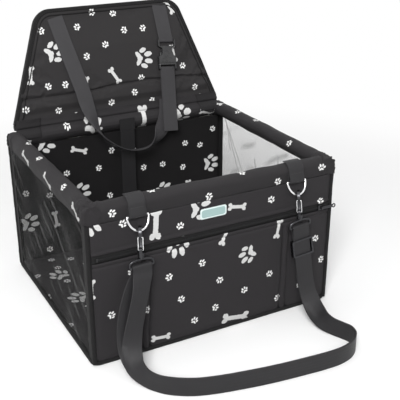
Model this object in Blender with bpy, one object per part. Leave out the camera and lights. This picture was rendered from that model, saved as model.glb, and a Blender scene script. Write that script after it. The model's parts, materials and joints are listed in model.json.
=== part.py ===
"""Booster car seat for a small dog, all sizes in metres.

A soft box stands on a stiff base. Plastic tubes in cloth sleeves hold its rim open, two of its
walls are padded and two are net. A padded flap rises from the back rim and leans back. It carries
a strap with a side-release buckle. A safety tether hangs inside, and a carry strap hangs in front
from two D-rings and rests on the floor.

Axes: X to the right, Y to the back, Z up. The origin is the middle of the base, on the floor.
"""
import math

import bmesh
import bpy
from mathutils import Matrix, Vector

# Driving sizes of the box
SEAT_WIDTH = 0.410
SEAT_DEPTH = 0.360
RIM_HEIGHT = 0.250
GAP = 0.0003            # between pieces that touch
CUT_OVERRUN = 0.004     # how far every cutter runs past what it cuts

# Cloth, foam and webbing
CLOTH = 0.0016
LINING = 0.0012
FOAM = 0.0045
NET = 0.0010
WEBBING = 0.0014
STRAP_WIDTH = 0.029
LEG_DROP = 0.0100       # straight down from an eye before the carry strap turns away
LEG_OUT = 0.0010        # and forwards over that drop
HEADREST_STRAP_WIDTH = 0.027

# Rim: a tube in a cloth sleeve, sewn to the wall at a seam
TUBE_RADIUS = 0.0100
TUBE_WALL = 0.0020
SLEEVE_WALL = 0.0017
SEAM_DROP = 0.0275      # from the top of the rim to the seam

# Base
BINDING_RADIUS = 0.0032
BINDING_CORNER = 0.010
BASE_BOARD = 0.0030
FLOOR_PAD = 0.0030
BOARD_INSET = 0.004
CORNER_RADIUS = 0.0035  # of the upright bindings

# Zip across the front wall
ZIP_HEIGHT = 0.170
ZIP_SLOT = 0.0120       # between the top band and the pocket
TAPE_WIDTH = 0.0052
TAPE_THICKNESS = 0.0009
COIL_HEIGHT = 0.0044
COIL_DEPTH = 0.0016
ZIP_END_INSET = 0.015   # of the coil's ends from the sides of the box
STOP_LENGTH = 0.0012
STOP_PROUD = 0.0004
SLIDER_LENGTH = 0.0110
SLIDER_HEIGHT = 0.0084
SLIDER_WALL = 0.0010
BAIL_RADIUS = 0.0007
BAIL_SPAN = 0.0060
PULL_LENGTH = 0.0260
PULL_WIDTH = 0.0050
PULL_THICKNESS = 0.0010
PULL_KNUCKLE_WALL = 0.0005
PULL_EYE_RADIUS = 0.0035
PULL_HOLE_RADIUS = 0.0019

# Flap above the back rim
FLAP_TILT = math.radians(13.0)
FLAP_SIDE_INSET = 0.010    # of its lower corners from the sides of the box
FLAP_TOP_INSET = 0.077     # of its upper corners
FLAP_LENGTH = 0.187
FLAP_TOP_CORNER = 0.022
FLAP_FOAM = 0.0064
FLAP_SETBACK = 0.0080      # from the back face to the fold line
BINDING_WIDTH = 0.0090
BINDING_CLOTH = 0.0012
BINDING_LAP = 0.0022       # of the binding outside the covers

# Front tabs, rings and label
RING_INSET = 0.075         # from each side of the box
TAB_WIDTH = 0.026
TAB_LIFT = 0.0245          # of the ring's bar below the top of the rim
RING_WIRE = 0.0016
RING_HALF_WIDTH = 0.0160
RING_REACH = 0.0208
RING_LEAN = math.radians(23.0)
LABEL_WIDTH = 0.043
LABEL_HEIGHT = 0.016
LABEL_DROP = 0.019         # of its middle below the seam
LABEL_THICKNESS = 0.0006
LABEL_SHIFT = 0.010        # to the left of the middle

# Swivel snap hook, from the ring's wire down to its eye
HOOK_THICKNESS = 0.0044
HOOK_BOW_RADIUS = 0.0060
HOOK_WALL = 0.0036
HOOK_DROP = 0.0030         # of the bow's centre under the wire it hangs from
BARREL_RADIUS = 0.0045
BARREL_TOP = 0.0330
BARREL_LENGTH = 0.0070
POST_RADIUS = 0.0021
POST_CLEARANCE = 0.0004
POST_CAP = 0.0012
EYE_WIRE = 0.0019
EYE_HALF_WIDTH = 0.0178
EYE_ARCH = 0.0105
EYE_DROP = 0.0540
GATE_WIRE = 0.0008
GATE_HALF_WIDTH = 0.0034
GATE_PIVOT = (-0.0026, -0.0284)
GATE_TIP = (-0.0047, -0.0080)
GATE_CLEARANCE = 0.00035
HOOK_YAW_LEFT = math.radians(-28.0)
HOOK_YAW_RIGHT = math.radians(-34.0)
HOOK_LEAN_RIGHT = math.radians(-6.0)

# Three-bar adjuster on the carry strap
ADJUSTER_WIDTH = 0.037
ADJUSTER_HEIGHT = 0.028
ADJUSTER_RAIL = 0.0030
ADJUSTER_BAR = 0.0032
ADJUSTER_PLATE = 0.0016
ADJUSTER_DROP = 0.0345     # of its centre below the eye

# Side-release buckle on the headrest strap
BUCKLE_WIDTH = 0.033
BUCKLE_WAIST = 0.0186
BUCKLE_THICKNESS = 0.0100
BUCKLE_HALF_LENGTH = 0.0205
BUCKLE_SLOT_WIDTH = 0.0284
BUCKLE_CAVITY_WIDTH = 0.0270
BUCKLE_CAVITY = 0.0056
BUCKLE_BAR = 0.0016
BUCKLE_CHEEK = 0.0112
BUCKLE_TILT = math.radians(5.0)
MALE_LENGTH = 0.0104
MALE_BLOCK = 0.0030
ARM_WIDTH = 0.0042
ARM_THICKNESS = 0.0046
ARM_LENGTH = 0.0250
TONGUE_WIDTH = 0.0080

# Headrest strap, in a plane that leans from the flap's top to the rim's inner side
STRAP_LEAN = math.radians(16.5)
STRAP_ANCHOR = 0.1765      # of its sewn ends above the fold line
STRAP_OFF_FACE = 0.0014    # from the flap's face to the strap's middle
STRAP_DROP = 0.2455        # from its sewn ends to the bottom of its loop
RIGHT_ANCHOR_INSET = 0.0340  # of the right end from the flap's top corner
BUCKLE_SHIFT = 0.0020      # of the buckle to the right of that end
BUCKLE_DOWN = 0.0815
TAIL_LENGTH = 0.1120
TAIL_FOLD = 0.0260

# Tether inside the back wall
TETHER_ACROSS = 0.0040
TETHER_TAB_HEIGHT = 0.0220
TETHER_TOP = 0.2250
TETHER_BEND = 0.1860
TETHER_EYE = 0.0835

# Shares that shape outlines
SLIDER_REST_SHARE = 0.955
EYE_FULLNESS_SHARE = 0.45
WAIST_SHARE = 0.26
SHOULDER_SHARE = 0.46
MOUTH_SHARE = 0.44

# The carry strap's route, chosen by hand: a place in shares of the left eye's distances from the
# middle of the base, the direction across the webbing, how far its two layers part and spread
CARRY_ROUTE_SHARES = (
    (-1.041, -1.025, 0.864, 0.99, 0.12, 0, 1.05, 0.06),
    (-1.093, -1.043, 0.775, 0.98, 0.20, 0, 1.2, 0.17),
    (-1.168, -1.069, 0.604, 0.98, 0.20, 0.05, 1.2, 0.21),
    (-1.230, -1.106, 0.433, 0.96, 0.20, 0.20, 0.85, 0.16),
    (-1.269, -1.163, 0.289, 0.85, 0.20, 0.50, 0.37, 0.07),
    (-1.269, -1.241, 0.177, 0.50, 0.20, 0.85, 0, 0),
    (-1.224, -1.325, 0.118, 0.15, 0.10, 0.98, 0, 0),
    (-1.146, -1.414, 0.098, 0, 0, 1, 0, 0),
    (-1.031, -1.500, 0.098, 0, 0, 1, 0, 0),
    (-0.836, -1.584, 0.098, 0, 0, 1, 0, 0),
    (-0.606, -1.639, 0.098, 0, 0, 1, 0, 0),
    (-0.331, -1.682, 0.098, 0, 0, 1, 0, 0),
    (-0.060, -1.717, 0.098, 0, 0, 1, 0, 0),
    (0.200, -1.742, 0.098, 0, 0, 1, 0, 0),
    (0.429, -1.759, 0.098, 0, 0, 1, 0, 0),
    (0.654, -1.773, 0.098, 0, 0, 1, 0, 0),
    (0.864, -1.773, 0.098, 0, 0, 1, 0, 0),
    (1.046, -1.740, 0.098, 0, 0, 1, 0, 0),
    (1.176, -1.669, 0.098, 0, 0, 1, 0, 0),
    (1.219, -1.580, 0.098, 0, 0, 1, 0, 0),
    (1.184, -1.502, 0.098, 0, 0, 1, 0, 0),
    (1.131, -1.419, 0.102, 0.05, 0.05, 1, 0, 0),
    (1.096, -1.335, 0.118, 0.35, 0.10, 0.92, 0, 0),
    (1.093, -1.251, 0.151, 0.70, 0.05, 0.70, 0, 0),
    (1.101, -1.168, 0.210, 0.92, 0, 0.38, 0, 0),
    (1.107, -1.100, 0.295, 0.99, 0, 0.15, 0, 0),
    (1.101, -1.059, 0.420, 0.99, 0, 0.10, 0, 0),
)
# The straight end of the route, up to the right eye: a share of its length and the parting there
RIGHT_LEG_SHARES = ((0.25, 0), (0.5, 0), (0.7, 0), (0.8, 0), (0.9, 0.5), (1, 1))
# The headrest strap's route: across in shares of half the flap's top, back and up in shares of
# the strap's drop, and a twist in degrees
HEADREST_ROUTE_SHARES = (
    (-0.771, 0, -0.018, 0),
    (-0.708, 0, -0.167, 0),
    (-0.635, 0, -0.33, 0),
    (-0.550, 0, -0.521, 0),
    (-0.520, 0, -0.619, 5),
    (-0.489, -0.0122, -0.709, 25),
    (-0.430, -0.0265, -0.807, 60),
    (-0.313, -0.0244, -0.9, 85),
    (-0.125, -0.0081, -0.971, 90),
    (0.079, 0, -1, 90),
    (0.265, 0.0041, -0.992, 97),
    (0.414, 0.0163, -0.949, 130),
    (0.524, 0.0224, -0.888, 172),
    (0.598, 0.0196, -0.819, 178),
    (0.637, 0.0163, -0.749, 180),
    (0.660, 0.0151, -0.672, 180),
)

# Heights and depths that follow from the sizes above
FLAP_BOTTOM_WIDTH = SEAT_WIDTH - 2 * FLAP_SIDE_INSET
FLAP_TOP_WIDTH = SEAT_WIDTH - 2 * FLAP_TOP_INSET
RING_SPACING = SEAT_WIDTH - 2 * RING_INSET
RIGHT_ANCHOR = FLAP_TOP_WIDTH / 2 - RIGHT_ANCHOR_INSET
BUCKLE_ACROSS = RIGHT_ANCHOR + BUCKLE_SHIFT
HALF_WIDTH = SEAT_WIDTH / 2
HALF_DEPTH = SEAT_DEPTH / 2
ZIP_HALF_LENGTH = HALF_WIDTH - ZIP_END_INSET
SLEEVE_RADIUS = TUBE_RADIUS + GAP + SLEEVE_WALL
RIM_AXIS_HEIGHT = RIM_HEIGHT - SLEEVE_RADIUS
SEAM_HEIGHT = RIM_HEIGHT - SEAM_DROP
WALL_TOP = SEAM_HEIGHT - GAP
WALL_BOTTOM = 2 * BINDING_RADIUS + GAP
WALL_SETBACK = 0.0005      # of the wall's outer face behind the sleeve's
OUTER_LAYER = HALF_DEPTH - WALL_SETBACK
PANEL_LAYER = OUTER_LAYER - CLOTH - GAP
FOAM_LAYER = PANEL_LAYER - CLOTH - GAP
LINING_LAYER = FOAM_LAYER - FOAM - GAP
WALL_INSIDE = LINING_LAYER - LINING
WALL_HALF_WIDTH = HALF_WIDTH - 2 * CORNER_RADIUS - GAP
FLAP_HALF = FLAP_FOAM / 2 + GAP + CLOTH
FLAP_AXIS = Vector((0, HALF_DEPTH - FLAP_SETBACK, RIM_HEIGHT + FLAP_HALF))
RING_AXIS = Vector((0, -HALF_DEPTH - GAP - WEBBING - GAP - RING_WIRE, RIM_HEIGHT - TAB_LIFT))
RING_FOOT = RING_AXIS + RING_REACH * Vector((0, -math.sin(RING_LEAN), -math.cos(RING_LEAN)))
LAYER_HALF_GAP = (WEBBING + GAP) / 2
EYE_TURN = EYE_WIRE + GAP + WEBBING / 2
PARTS = bpy.data.collections.new("dog_car_seat")
CUTTERS = bpy.data.collections.new("cutters")


def clear_scene():
    for obj in list(bpy.data.objects):
        bpy.data.objects.remove(obj, do_unlink=True)
    bpy.context.scene.collection.children.link(PARTS)
    bpy.context.scene.collection.children.link(CUTTERS)


def finish(name, colour, roughness, metallic=0.0, alpha=1.0):
    made = bpy.data.materials.new(name)
    made.use_nodes = True
    shader = made.node_tree.nodes["Principled BSDF"]
    shader.inputs["Base Color"].default_value = (*colour, 1.0)
    shader.inputs["Roughness"].default_value = roughness
    shader.inputs["Metallic"].default_value = metallic
    shader.inputs["Alpha"].default_value = alpha
    return made


def finishes():
    """One Principled material for each sub-part's stuff, by its plain name."""
    return {
        "cloth": finish("cloth", (0.045, 0.045, 0.048), 0.75),
        "tape": finish("tape", (0.018, 0.018, 0.019), 0.70),
        "lining": finish("lining", (0.038, 0.038, 0.040), 0.78),
        "net": finish("net", (0.020, 0.020, 0.021), 0.80, alpha=0.6),
        "foam": finish("foam", (0.55, 0.55, 0.52), 0.95),
        "board": finish("board", (0.16, 0.15, 0.14), 0.80),
        "tube": finish("tube", (0.70, 0.70, 0.68), 0.40),
        "webbing": finish("webbing", (0.060, 0.060, 0.064), 0.65),
        "nickel": finish("nickel", (0.78, 0.78, 0.80), 0.18, metallic=1.0),
        "gunmetal": finish("gunmetal", (0.13, 0.13, 0.14), 0.35, metallic=1.0),
        "buckle": finish("buckle", (0.030, 0.030, 0.033), 0.42),
        "zip": finish("zip", (0.012, 0.012, 0.013), 0.50),
        "label": finish("label", (0.32, 0.62, 0.55), 0.70),
    }


def frame(name, location, rotation=(0, 0, 0), parent=None):
    """An empty that stands on a joint's axis and carries the pieces that turn about it."""
    empty = bpy.data.objects.new(name, None)
    empty.location = location
    empty.rotation_euler = rotation
    empty.parent = parent
    PARTS.objects.link(empty)
    return empty


def part(name, mesh, stuff, parent=None, location=(0, 0, 0), smooth=False):
    obj = bpy.data.objects.new(name, mesh)
    obj.location = location
    obj.parent = parent
    mesh.materials.clear()
    mesh.materials.append(stuff)
    if smooth:
        mesh.shade_smooth()
        mesh.set_sharp_from_angle(angle=math.radians(40.0))
    PARTS.objects.link(obj)
    return obj


def combine(obj, mesh, operation, location=(0, 0, 0)):
    """Cut a mesh from a part, or join it on, both given in the frame that carries the part."""
    tool = bpy.data.objects.new(obj.name + "_" + operation.lower(), mesh)
    tool.location = location
    tool.parent = obj.parent
    tool.hide_render = True
    tool.display_type = "WIRE"
    CUTTERS.objects.link(tool)
    change = obj.modifiers.new(operation.title(), "BOOLEAN")
    change.operation = operation
    change.solver = "EXACT"
    change.object = tool
    return tool


def mesh_of(bm):
    mesh = bpy.data.meshes.new("shape")
    bm.normal_update()
    bmesh.ops.recalc_face_normals(bm, faces=bm.faces)
    if bm.calc_volume(signed=True) < 0:
        bmesh.ops.reverse_faces(bm, faces=bm.faces)
    bm.to_mesh(mesh)
    bm.free()
    return mesh


def block(low, high):
    """A box between two corners."""
    low = Vector(low)
    high = Vector(high)
    bm = bmesh.new()
    bmesh.ops.create_cube(bm, size=1.0)
    bmesh.ops.scale(bm, vec=high - low, verts=bm.verts)
    bmesh.ops.translate(bm, vec=(low + high) / 2, verts=bm.verts)
    return mesh_of(bm)


def rod(start, end, radius, sides=16):
    """A round bar between two points."""
    start = Vector(start)
    end = Vector(end)
    bm = bmesh.new()
    bmesh.ops.create_cone(
        bm, cap_ends=True, segments=sides, radius1=radius, radius2=radius, depth=(end - start).length
    )
    turn = (end - start).to_track_quat("Z", "Y").to_matrix().to_4x4()
    bm.transform(Matrix.Translation((start + end) / 2) @ turn)
    return mesh_of(bm)


def baked(curve):
    """The mesh of a curve, with its caps welded on."""
    carrier = bpy.data.objects.new("carrier", curve)
    bpy.context.scene.collection.objects.link(carrier)
    bpy.context.view_layer.update()
    mesh = bpy.data.meshes.new_from_object(carrier.evaluated_get(bpy.context.evaluated_depsgraph_get()))
    bpy.data.objects.remove(carrier, do_unlink=True)
    bm = bmesh.new()
    bm.from_mesh(mesh)
    bmesh.ops.remove_doubles(bm, verts=bm.verts, dist=GAP / 10)
    return mesh_of(bm)


FACING_FRONT = Matrix.Rotation(math.radians(90.0), 4, "X")
ALONG_FRONT = Matrix(((0, 0, -1, 0), (-1, 0, 0, 0), (0, 1, 0, 0), (0, 0, 0, 1)))
FACING_SIDE = Matrix(((0, 0, 1, 0), (1, 0, 0, 0), (0, 1, 0, 0), (0, 0, 0, 1)))


def plate(loops, thickness, facing):
    """A flat outline with its holes, thick to both sides of the plane that it is drawn on."""
    curve = bpy.data.curves.new("outline", "CURVE")
    curve.dimensions = "2D"
    curve.fill_mode = "BOTH"
    curve.extrude = thickness / 2
    for loop in loops:
        spline = curve.splines.new("POLY")
        spline.points.add(len(loop) - 1)
        for point, place in zip(spline.points, loop):
            point.co = (place[0], place[1], 0, 1)
        spline.use_cyclic_u = True
    mesh = baked(curve)
    mesh.transform(facing)
    return mesh


def wire(points, radius, closed=False, resolution=1):
    """A bent wire through its points."""
    curve = bpy.data.curves.new("wire", "CURVE")
    curve.dimensions = "3D"
    curve.bevel_depth = radius
    curve.bevel_resolution = resolution
    curve.use_fill_caps = not closed
    spline = curve.splines.new("POLY")
    spline.points.add(len(points) - 1)
    for point, place in zip(spline.points, points):
        point.co = (*place, 1)
    spline.use_cyclic_u = closed
    return baked(curve)


def ribbon(stations, width, thickness, closed=False, level_ends=False):
    """Webbing lofted through stations, each a place and the direction across the webbing there.

    With level ends the sections keep that direction, as where webbing is sewn on a little askew.
    """
    bm = bmesh.new()
    sections = []
    count = len(stations)
    for index, (place, across) in enumerate(stations):
        if closed:
            ahead = stations[(index + 1) % count][0]
            behind = stations[index - 1][0]
        else:
            ahead = stations[min(index + 1, count - 1)][0]
            behind = stations[max(index - 1, 0)][0]
        along = (ahead - behind).normalized()
        if level_ends:
            level = across.normalized()
            along = (along - along.dot(level) * level).normalized()
        else:
            level = (across - across.dot(along) * along).normalized()
        proud = along.cross(level)
        corners = ((-1, -1), (1, -1), (1, 1), (-1, 1))
        sections.append([
            bm.verts.new(place + side * width / 2 * level + face * thickness / 2 * proud)
            for side, face in corners
        ])
    pairs = list(zip(sections, sections[1:]))
    if closed:
        pairs.append((sections[-1], sections[0]))
    else:
        bm.faces.new(sections[0])
        bm.faces.new(reversed(sections[-1]))
    for here, there in pairs:
        for corner in range(4):
            after = (corner + 1) % 4
            bm.faces.new((here[corner], there[corner], there[after], here[after]))
    return mesh_of(bm)


def smooth_route(rows, steps):
    """Rows of numbers read from a smooth curve through the rows given."""
    rows = [Vector(row) for row in rows]
    ends = [2 * rows[0] - rows[1]] + rows + [2 * rows[-1] - rows[-2]]
    path = []
    for first, second, third, fourth in zip(ends, ends[1:], ends[2:], ends[3:]):
        for step in range(steps):
            t = step / steps
            path.append(0.5 * (
                2 * second + (third - first) * t
                + (2 * first - 5 * second + 4 * third - fourth) * t ** 2
                + (3 * second - first - 3 * third + fourth) * t ** 3
            ))
    path.append(rows[-1])
    return path


def arc(centre, radius, start, end, steps):
    """Points of a round stretch of an outline, with angles in degrees."""
    places = []
    for step in range(steps + 1):
        angle = math.radians(start + (end - start) * step / steps)
        places.append((centre[0] + radius * math.cos(angle), centre[1] + radius * math.sin(angle)))
    return places


def rounded(corners, radii, steps=5):
    """A convex outline, counter-clockwise, with each corner rounded by its own radius."""
    outline = []
    for index, (corner, radius) in enumerate(zip(corners, radii)):
        here = Vector(corner)
        if radius == 0:
            outline.append(tuple(here))
            continue
        back = (Vector(corners[index - 1]) - here).normalized()
        ahead = (Vector(corners[(index + 1) % len(corners)]) - here).normalized()
        half = back.angle(ahead) / 2
        centre = here + (back + ahead).normalized() * radius / math.sin(half)
        start = (here + back * radius / math.tan(half)) - centre
        sweep = math.pi - 2 * half
        for step in range(steps + 1):
            turn = Matrix.Rotation(sweep * step / steps, 2)
            outline.append(tuple(centre + turn @ start))
    return outline


def base(stuff):
    inner_x = HALF_WIDTH - 2 * BINDING_RADIUS - GAP
    inner_y = HALF_DEPTH - 2 * BINDING_RADIUS - GAP
    corners = [(-inner_x, -inner_y), (inner_x, -inner_y), (inner_x, inner_y), (-inner_x, inner_y)]
    cover = plate([rounded(corners, [BINDING_CORNER] * 4)], CLOTH, Matrix.Identity(4))
    part("base_cover", cover, stuff["cloth"], location=(0, 0, CLOTH / 2))
    board_low = CLOTH + GAP
    board_high = board_low + BASE_BOARD
    board_x = inner_x - BOARD_INSET
    board_y = inner_y - BOARD_INSET
    board = block((-board_x, -board_y, board_low), (board_x, board_y, board_high))
    part("base_board", board, stuff["board"])
    pad_low = board_high + GAP
    pad_y = WALL_INSIDE - GAP
    pad = block((-inner_x, -pad_y, pad_low), (inner_x, pad_y, pad_low + FLOOR_PAD))
    part("floor_lining", pad, stuff["lining"])
    x = HALF_WIDTH - BINDING_RADIUS
    y = HALF_DEPTH - BINDING_RADIUS
    outline = rounded([(-x, -y), (x, -y), (x, y), (-x, y)], [BINDING_CORNER] * 4, 4)
    path = [(px, py, BINDING_RADIUS) for px, py in outline]
    binding = part("edge_binding", wire(path, BINDING_RADIUS, closed=True), stuff["tape"], smooth=True)
    x = HALF_WIDTH - CORNER_RADIUS
    y = HALF_DEPTH - CORNER_RADIUS
    for cx, cy in ((-x, -y), (x, -y), (x, y), (-x, y)):
        combine(binding, rod((cx, cy, BINDING_RADIUS), (cx, cy, WALL_TOP), CORNER_RADIUS, 10), "UNION")


def wall_sheet(outside, thickness, side, low, high, half_width=WALL_HALF_WIDTH):
    """A sheet of the front wall (side -1) or the back wall (side 1), from its outer face inwards."""
    faces = sorted((side * outside, side * (outside - thickness)))
    return block((-half_width, faces[0], low), (half_width, faces[1], high))


def walls(stuff):
    foam_low = WALL_BOTTOM + GAP
    for word, side in (("front", -1), ("back", 1)):
        panel = wall_sheet(PANEL_LAYER, CLOTH, side, WALL_BOTTOM, WALL_TOP)
        part(word + "_panel", panel, stuff["cloth"])
        foam = wall_sheet(FOAM_LAYER, FOAM, side, foam_low, WALL_TOP)
        part(word + "_foam", foam, stuff["foam"])
        lining = wall_sheet(LINING_LAYER, LINING, side, CLOTH + GAP + BASE_BOARD + 2 * GAP, WALL_TOP)
        part(word + "_lining", lining, stuff["lining"])
    band_low = ZIP_HEIGHT + ZIP_SLOT / 2
    part("front_top_band", wall_sheet(OUTER_LAYER, CLOTH, -1, band_low, WALL_TOP), stuff["cloth"])
    pocket_high = ZIP_HEIGHT - ZIP_SLOT / 2
    part("front_pocket", wall_sheet(OUTER_LAYER, CLOTH, -1, WALL_BOTTOM, pocket_high), stuff["cloth"])
    net_y = HALF_DEPTH - 2 * CORNER_RADIUS - GAP
    for word, side in (("left", -1), ("right", 1)):
        middle = side * (HALF_WIDTH - CORNER_RADIUS)
        low = (middle - NET / 2, -net_y, WALL_BOTTOM)
        high = (middle + NET / 2, net_y, WALL_TOP)
        part(word + "_net", block(low, high), stuff["net"])


def sleeve_profile():
    """The sleeve's section: x is outwards from the tube's axis, y is up from it."""
    seam = SEAM_HEIGHT - RIM_AXIS_HEIGHT
    inner_foot = WALL_INSIDE - (HALF_DEPTH - SLEEVE_RADIUS)
    reach = math.hypot(inner_foot, seam)
    touch = math.degrees(math.atan2(seam, inner_foot) - math.acos(SLEEVE_RADIUS / reach))
    outline = arc((0, 0), SLEEVE_RADIUS, 0, 360 + touch, 14)
    outline.append((inner_foot, seam))
    outline.append((SLEEVE_RADIUS, seam))
    bore = arc((0, 0), TUBE_RADIUS + GAP, 360, 30, 11)
    return [outline, bore]


def sleeve(half_length, quarter_turns):
    """A cloth sleeve along one side of the rim, mitred at both ends."""
    mesh = plate(sleeve_profile(), 1.0, Matrix.Identity(4))
    for vertex in mesh.vertices:
        end = 1 if vertex.co.z > 0 else -1
        vertex.co.z = end * (half_length + vertex.co.x - GAP)
    mesh.transform(Matrix.Rotation(quarter_turns * math.pi / 2, 4, "Z") @ ALONG_FRONT)
    return mesh


def tube(half_length, quarter_turns):
    """A hollow plastic tube that fills a sleeve."""
    rings = [arc((0, 0), TUBE_RADIUS, 0, 330, 11), arc((0, 0), TUBE_RADIUS - TUBE_WALL, 330, 0, 11)]
    mesh = plate(rings, 2 * half_length, Matrix.Identity(4))
    mesh.transform(Matrix.Rotation(quarter_turns * math.pi / 2, 4, "Z") @ ALONG_FRONT)
    return mesh


def rim(stuff):
    axis_x = HALF_WIDTH - SLEEVE_RADIUS
    axis_y = HALF_DEPTH - SLEEVE_RADIUS
    side_tube = axis_y - TUBE_RADIUS - 3 * GAP
    sides = (
        ("front", 0, axis_x, axis_x, (0, -axis_y)),
        ("right", 1, axis_y, side_tube, (axis_x, 0)),
        ("back", 2, axis_x, axis_x, (0, axis_y)),
        ("left", 3, axis_y, side_tube, (-axis_x, 0)),
    )
    for word, turns, half_length, tube_half, (x, y) in sides:
        place = (x, y, RIM_AXIS_HEIGHT)
        part("rim_sleeve_" + word, sleeve(half_length, turns), stuff["cloth"], location=place, smooth=True)
        part("rim_tube_" + word, tube(tube_half, turns), stuff["tube"], location=place, smooth=True)


def flap_outline(inset, foot):
    """The flap's outline, drawn in by an inset, with its lower edge at a foot height."""
    slope = (FLAP_BOTTOM_WIDTH - FLAP_TOP_WIDTH) / 2 / FLAP_LENGTH
    side_inset = inset * math.hypot(1, slope)
    top = FLAP_LENGTH - inset
    low_x = FLAP_BOTTOM_WIDTH / 2 - slope * foot - side_inset
    high_x = FLAP_BOTTOM_WIDTH / 2 - slope * top - side_inset
    radius = FLAP_TOP_CORNER - inset
    return rounded(
        [(-low_x, foot), (low_x, foot), (high_x, top), (-high_x, top)], [0, 0, radius, radius], 6
    )


def flap(stuff):
    hinge = frame("flap_hinge", FLAP_AXIS, (-FLAP_TILT, 0, 0))
    foot = FLAP_HALF + GAP
    cover_middle = FLAP_FOAM / 2 + GAP + CLOTH / 2
    outline = flap_outline(BINDING_LAP, foot)
    front = plate([outline], CLOTH, FACING_FRONT)
    part("flap_front_cover", front, stuff["cloth"], hinge, (0, -cover_middle, 0))
    back = plate([outline], CLOTH, FACING_FRONT)
    part("flap_back_cover", back, stuff["cloth"], hinge, (0, cover_middle, 0))
    part("flap_foam", plate([outline], FLAP_FOAM, FACING_FRONT), stuff["foam"], hinge)
    hem_x = FLAP_BOTTOM_WIDTH / 2 - BINDING_LAP
    part("flap_hem", rod((-hem_x, 0, 0), (hem_x, 0, 0), FLAP_HALF), stuff["tape"], hinge, smooth=True)
    start = foot + BINDING_WIDTH
    whole = plate([flap_outline(0, foot)], 2 * (FLAP_HALF + GAP + BINDING_CLOTH), FACING_FRONT)
    binding = part("flap_binding", whole, stuff["tape"], hinge)
    window = flap_outline(BINDING_WIDTH, foot - CUT_OVERRUN)
    combine(binding, plate([window], 4 * FLAP_HALF, FACING_FRONT), "DIFFERENCE")
    pocket = flap_outline(BINDING_LAP - GAP, foot - CUT_OVERRUN)
    combine(binding, plate([pocket], 2 * (FLAP_HALF + GAP), FACING_FRONT), "DIFFERENCE")
    reach = FLAP_BOTTOM_WIDTH
    skirt = block((-reach, -reach, -reach), (reach, reach, start))
    combine(binding, skirt, "DIFFERENCE")
    return hinge


def zip_pieces(stuff):
    face = -(PANEL_LAYER + GAP)
    tape_front = face - TAPE_THICKNESS
    low = (-WALL_HALF_WIDTH, tape_front, ZIP_HEIGHT - TAPE_WIDTH)
    high = (WALL_HALF_WIDTH, face, ZIP_HEIGHT + TAPE_WIDTH)
    part("zip_tape", block(low, high), stuff["zip"])
    coil_back = tape_front - GAP
    coil_front = coil_back - COIL_DEPTH
    half = COIL_HEIGHT / 2
    coil = block(
        (-ZIP_HALF_LENGTH, coil_front, ZIP_HEIGHT - half), (ZIP_HALF_LENGTH, coil_back, ZIP_HEIGHT + half)
    )
    row = part("zip_coil", coil, stuff["zip"])
    for side in (-1, 1):
        low, high = sorted((side * (ZIP_HALF_LENGTH - STOP_LENGTH), side * (ZIP_HALF_LENGTH + STOP_LENGTH)))
        tall = half + STOP_PROUD
        stop = block((low, coil_front - STOP_PROUD, ZIP_HEIGHT - tall), (high, coil_back, ZIP_HEIGHT + tall))
        combine(row, stop, "UNION")
    slider_x = SLIDER_REST_SHARE * ZIP_HALF_LENGTH
    body_front = coil_front - GAP - SLIDER_WALL
    low = (slider_x - SLIDER_LENGTH / 2, body_front, ZIP_HEIGHT - SLIDER_HEIGHT / 2)
    high = (slider_x + SLIDER_LENGTH / 2, coil_back, ZIP_HEIGHT + SLIDER_HEIGHT / 2)
    slider = part("zip_slider", block(low, high), stuff["gunmetal"])
    channel_half = half + GAP
    combine(slider, block(
        (low[0] - CUT_OVERRUN, coil_front - GAP, ZIP_HEIGHT - channel_half),
        (high[0] + CUT_OVERRUN, coil_back + CUT_OVERRUN, ZIP_HEIGHT + channel_half),
    ), "DIFFERENCE")
    knuckle = BAIL_RADIUS + GAP + PULL_KNUCKLE_WALL
    out = body_front - GAP - knuckle
    legs = BAIL_SPAN / 2
    root = body_front + SLIDER_WALL / 2
    bail = [(root, -legs), (out, -legs), (out, legs), (root, legs)]
    combine(slider, wire([(slider_x, y, ZIP_HEIGHT + z) for y, z in bail], BAIL_RADIUS), "UNION")
    pivot = frame("zip_pull_pivot", (slider_x, out, ZIP_HEIGHT))
    half_wide = PULL_WIDTH / 2
    eye = PULL_LENGTH - PULL_EYE_RADIUS
    opening = math.degrees(math.asin(half_wide / PULL_EYE_RADIUS))
    start = BAIL_RADIUS + 2 * GAP
    reach = legs - BAIL_RADIUS - GAP
    outline = [(start, reach), (start, -reach), (2 * knuckle, -half_wide)]
    outline += arc((eye, 0), PULL_EYE_RADIUS, opening - 180, 180 - opening, 12)
    outline.append((2 * knuckle, half_wide))
    hole = arc((eye, 0), PULL_HOLE_RADIUS, 360, 40, 8)
    pull = part("zip_pull", plate([outline, hole], PULL_THICKNESS, FACING_FRONT), stuff["gunmetal"], pivot)
    combine(pull, rod((0, 0, -reach), (0, 0, reach), knuckle), "UNION")
    combine(pull, rod((0, 0, -legs), (0, 0, legs), BAIL_RADIUS + GAP), "DIFFERENCE")


def d_shape(half_width, reach, fullness, steps):
    """A D lying in the X-Z plane: a straight bar and a bow that hangs from it.

    At fullness 1 the bow is half an ellipse, and below 1 its shoulders are squarer.
    """
    places = []
    for step in range(steps + 1):
        angle = math.pi * step / steps
        drop = reach * abs(math.sin(angle)) ** fullness if 0 < step < steps else 0
        places.append((half_width * math.cos(angle), 0, -drop))
    return places


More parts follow.
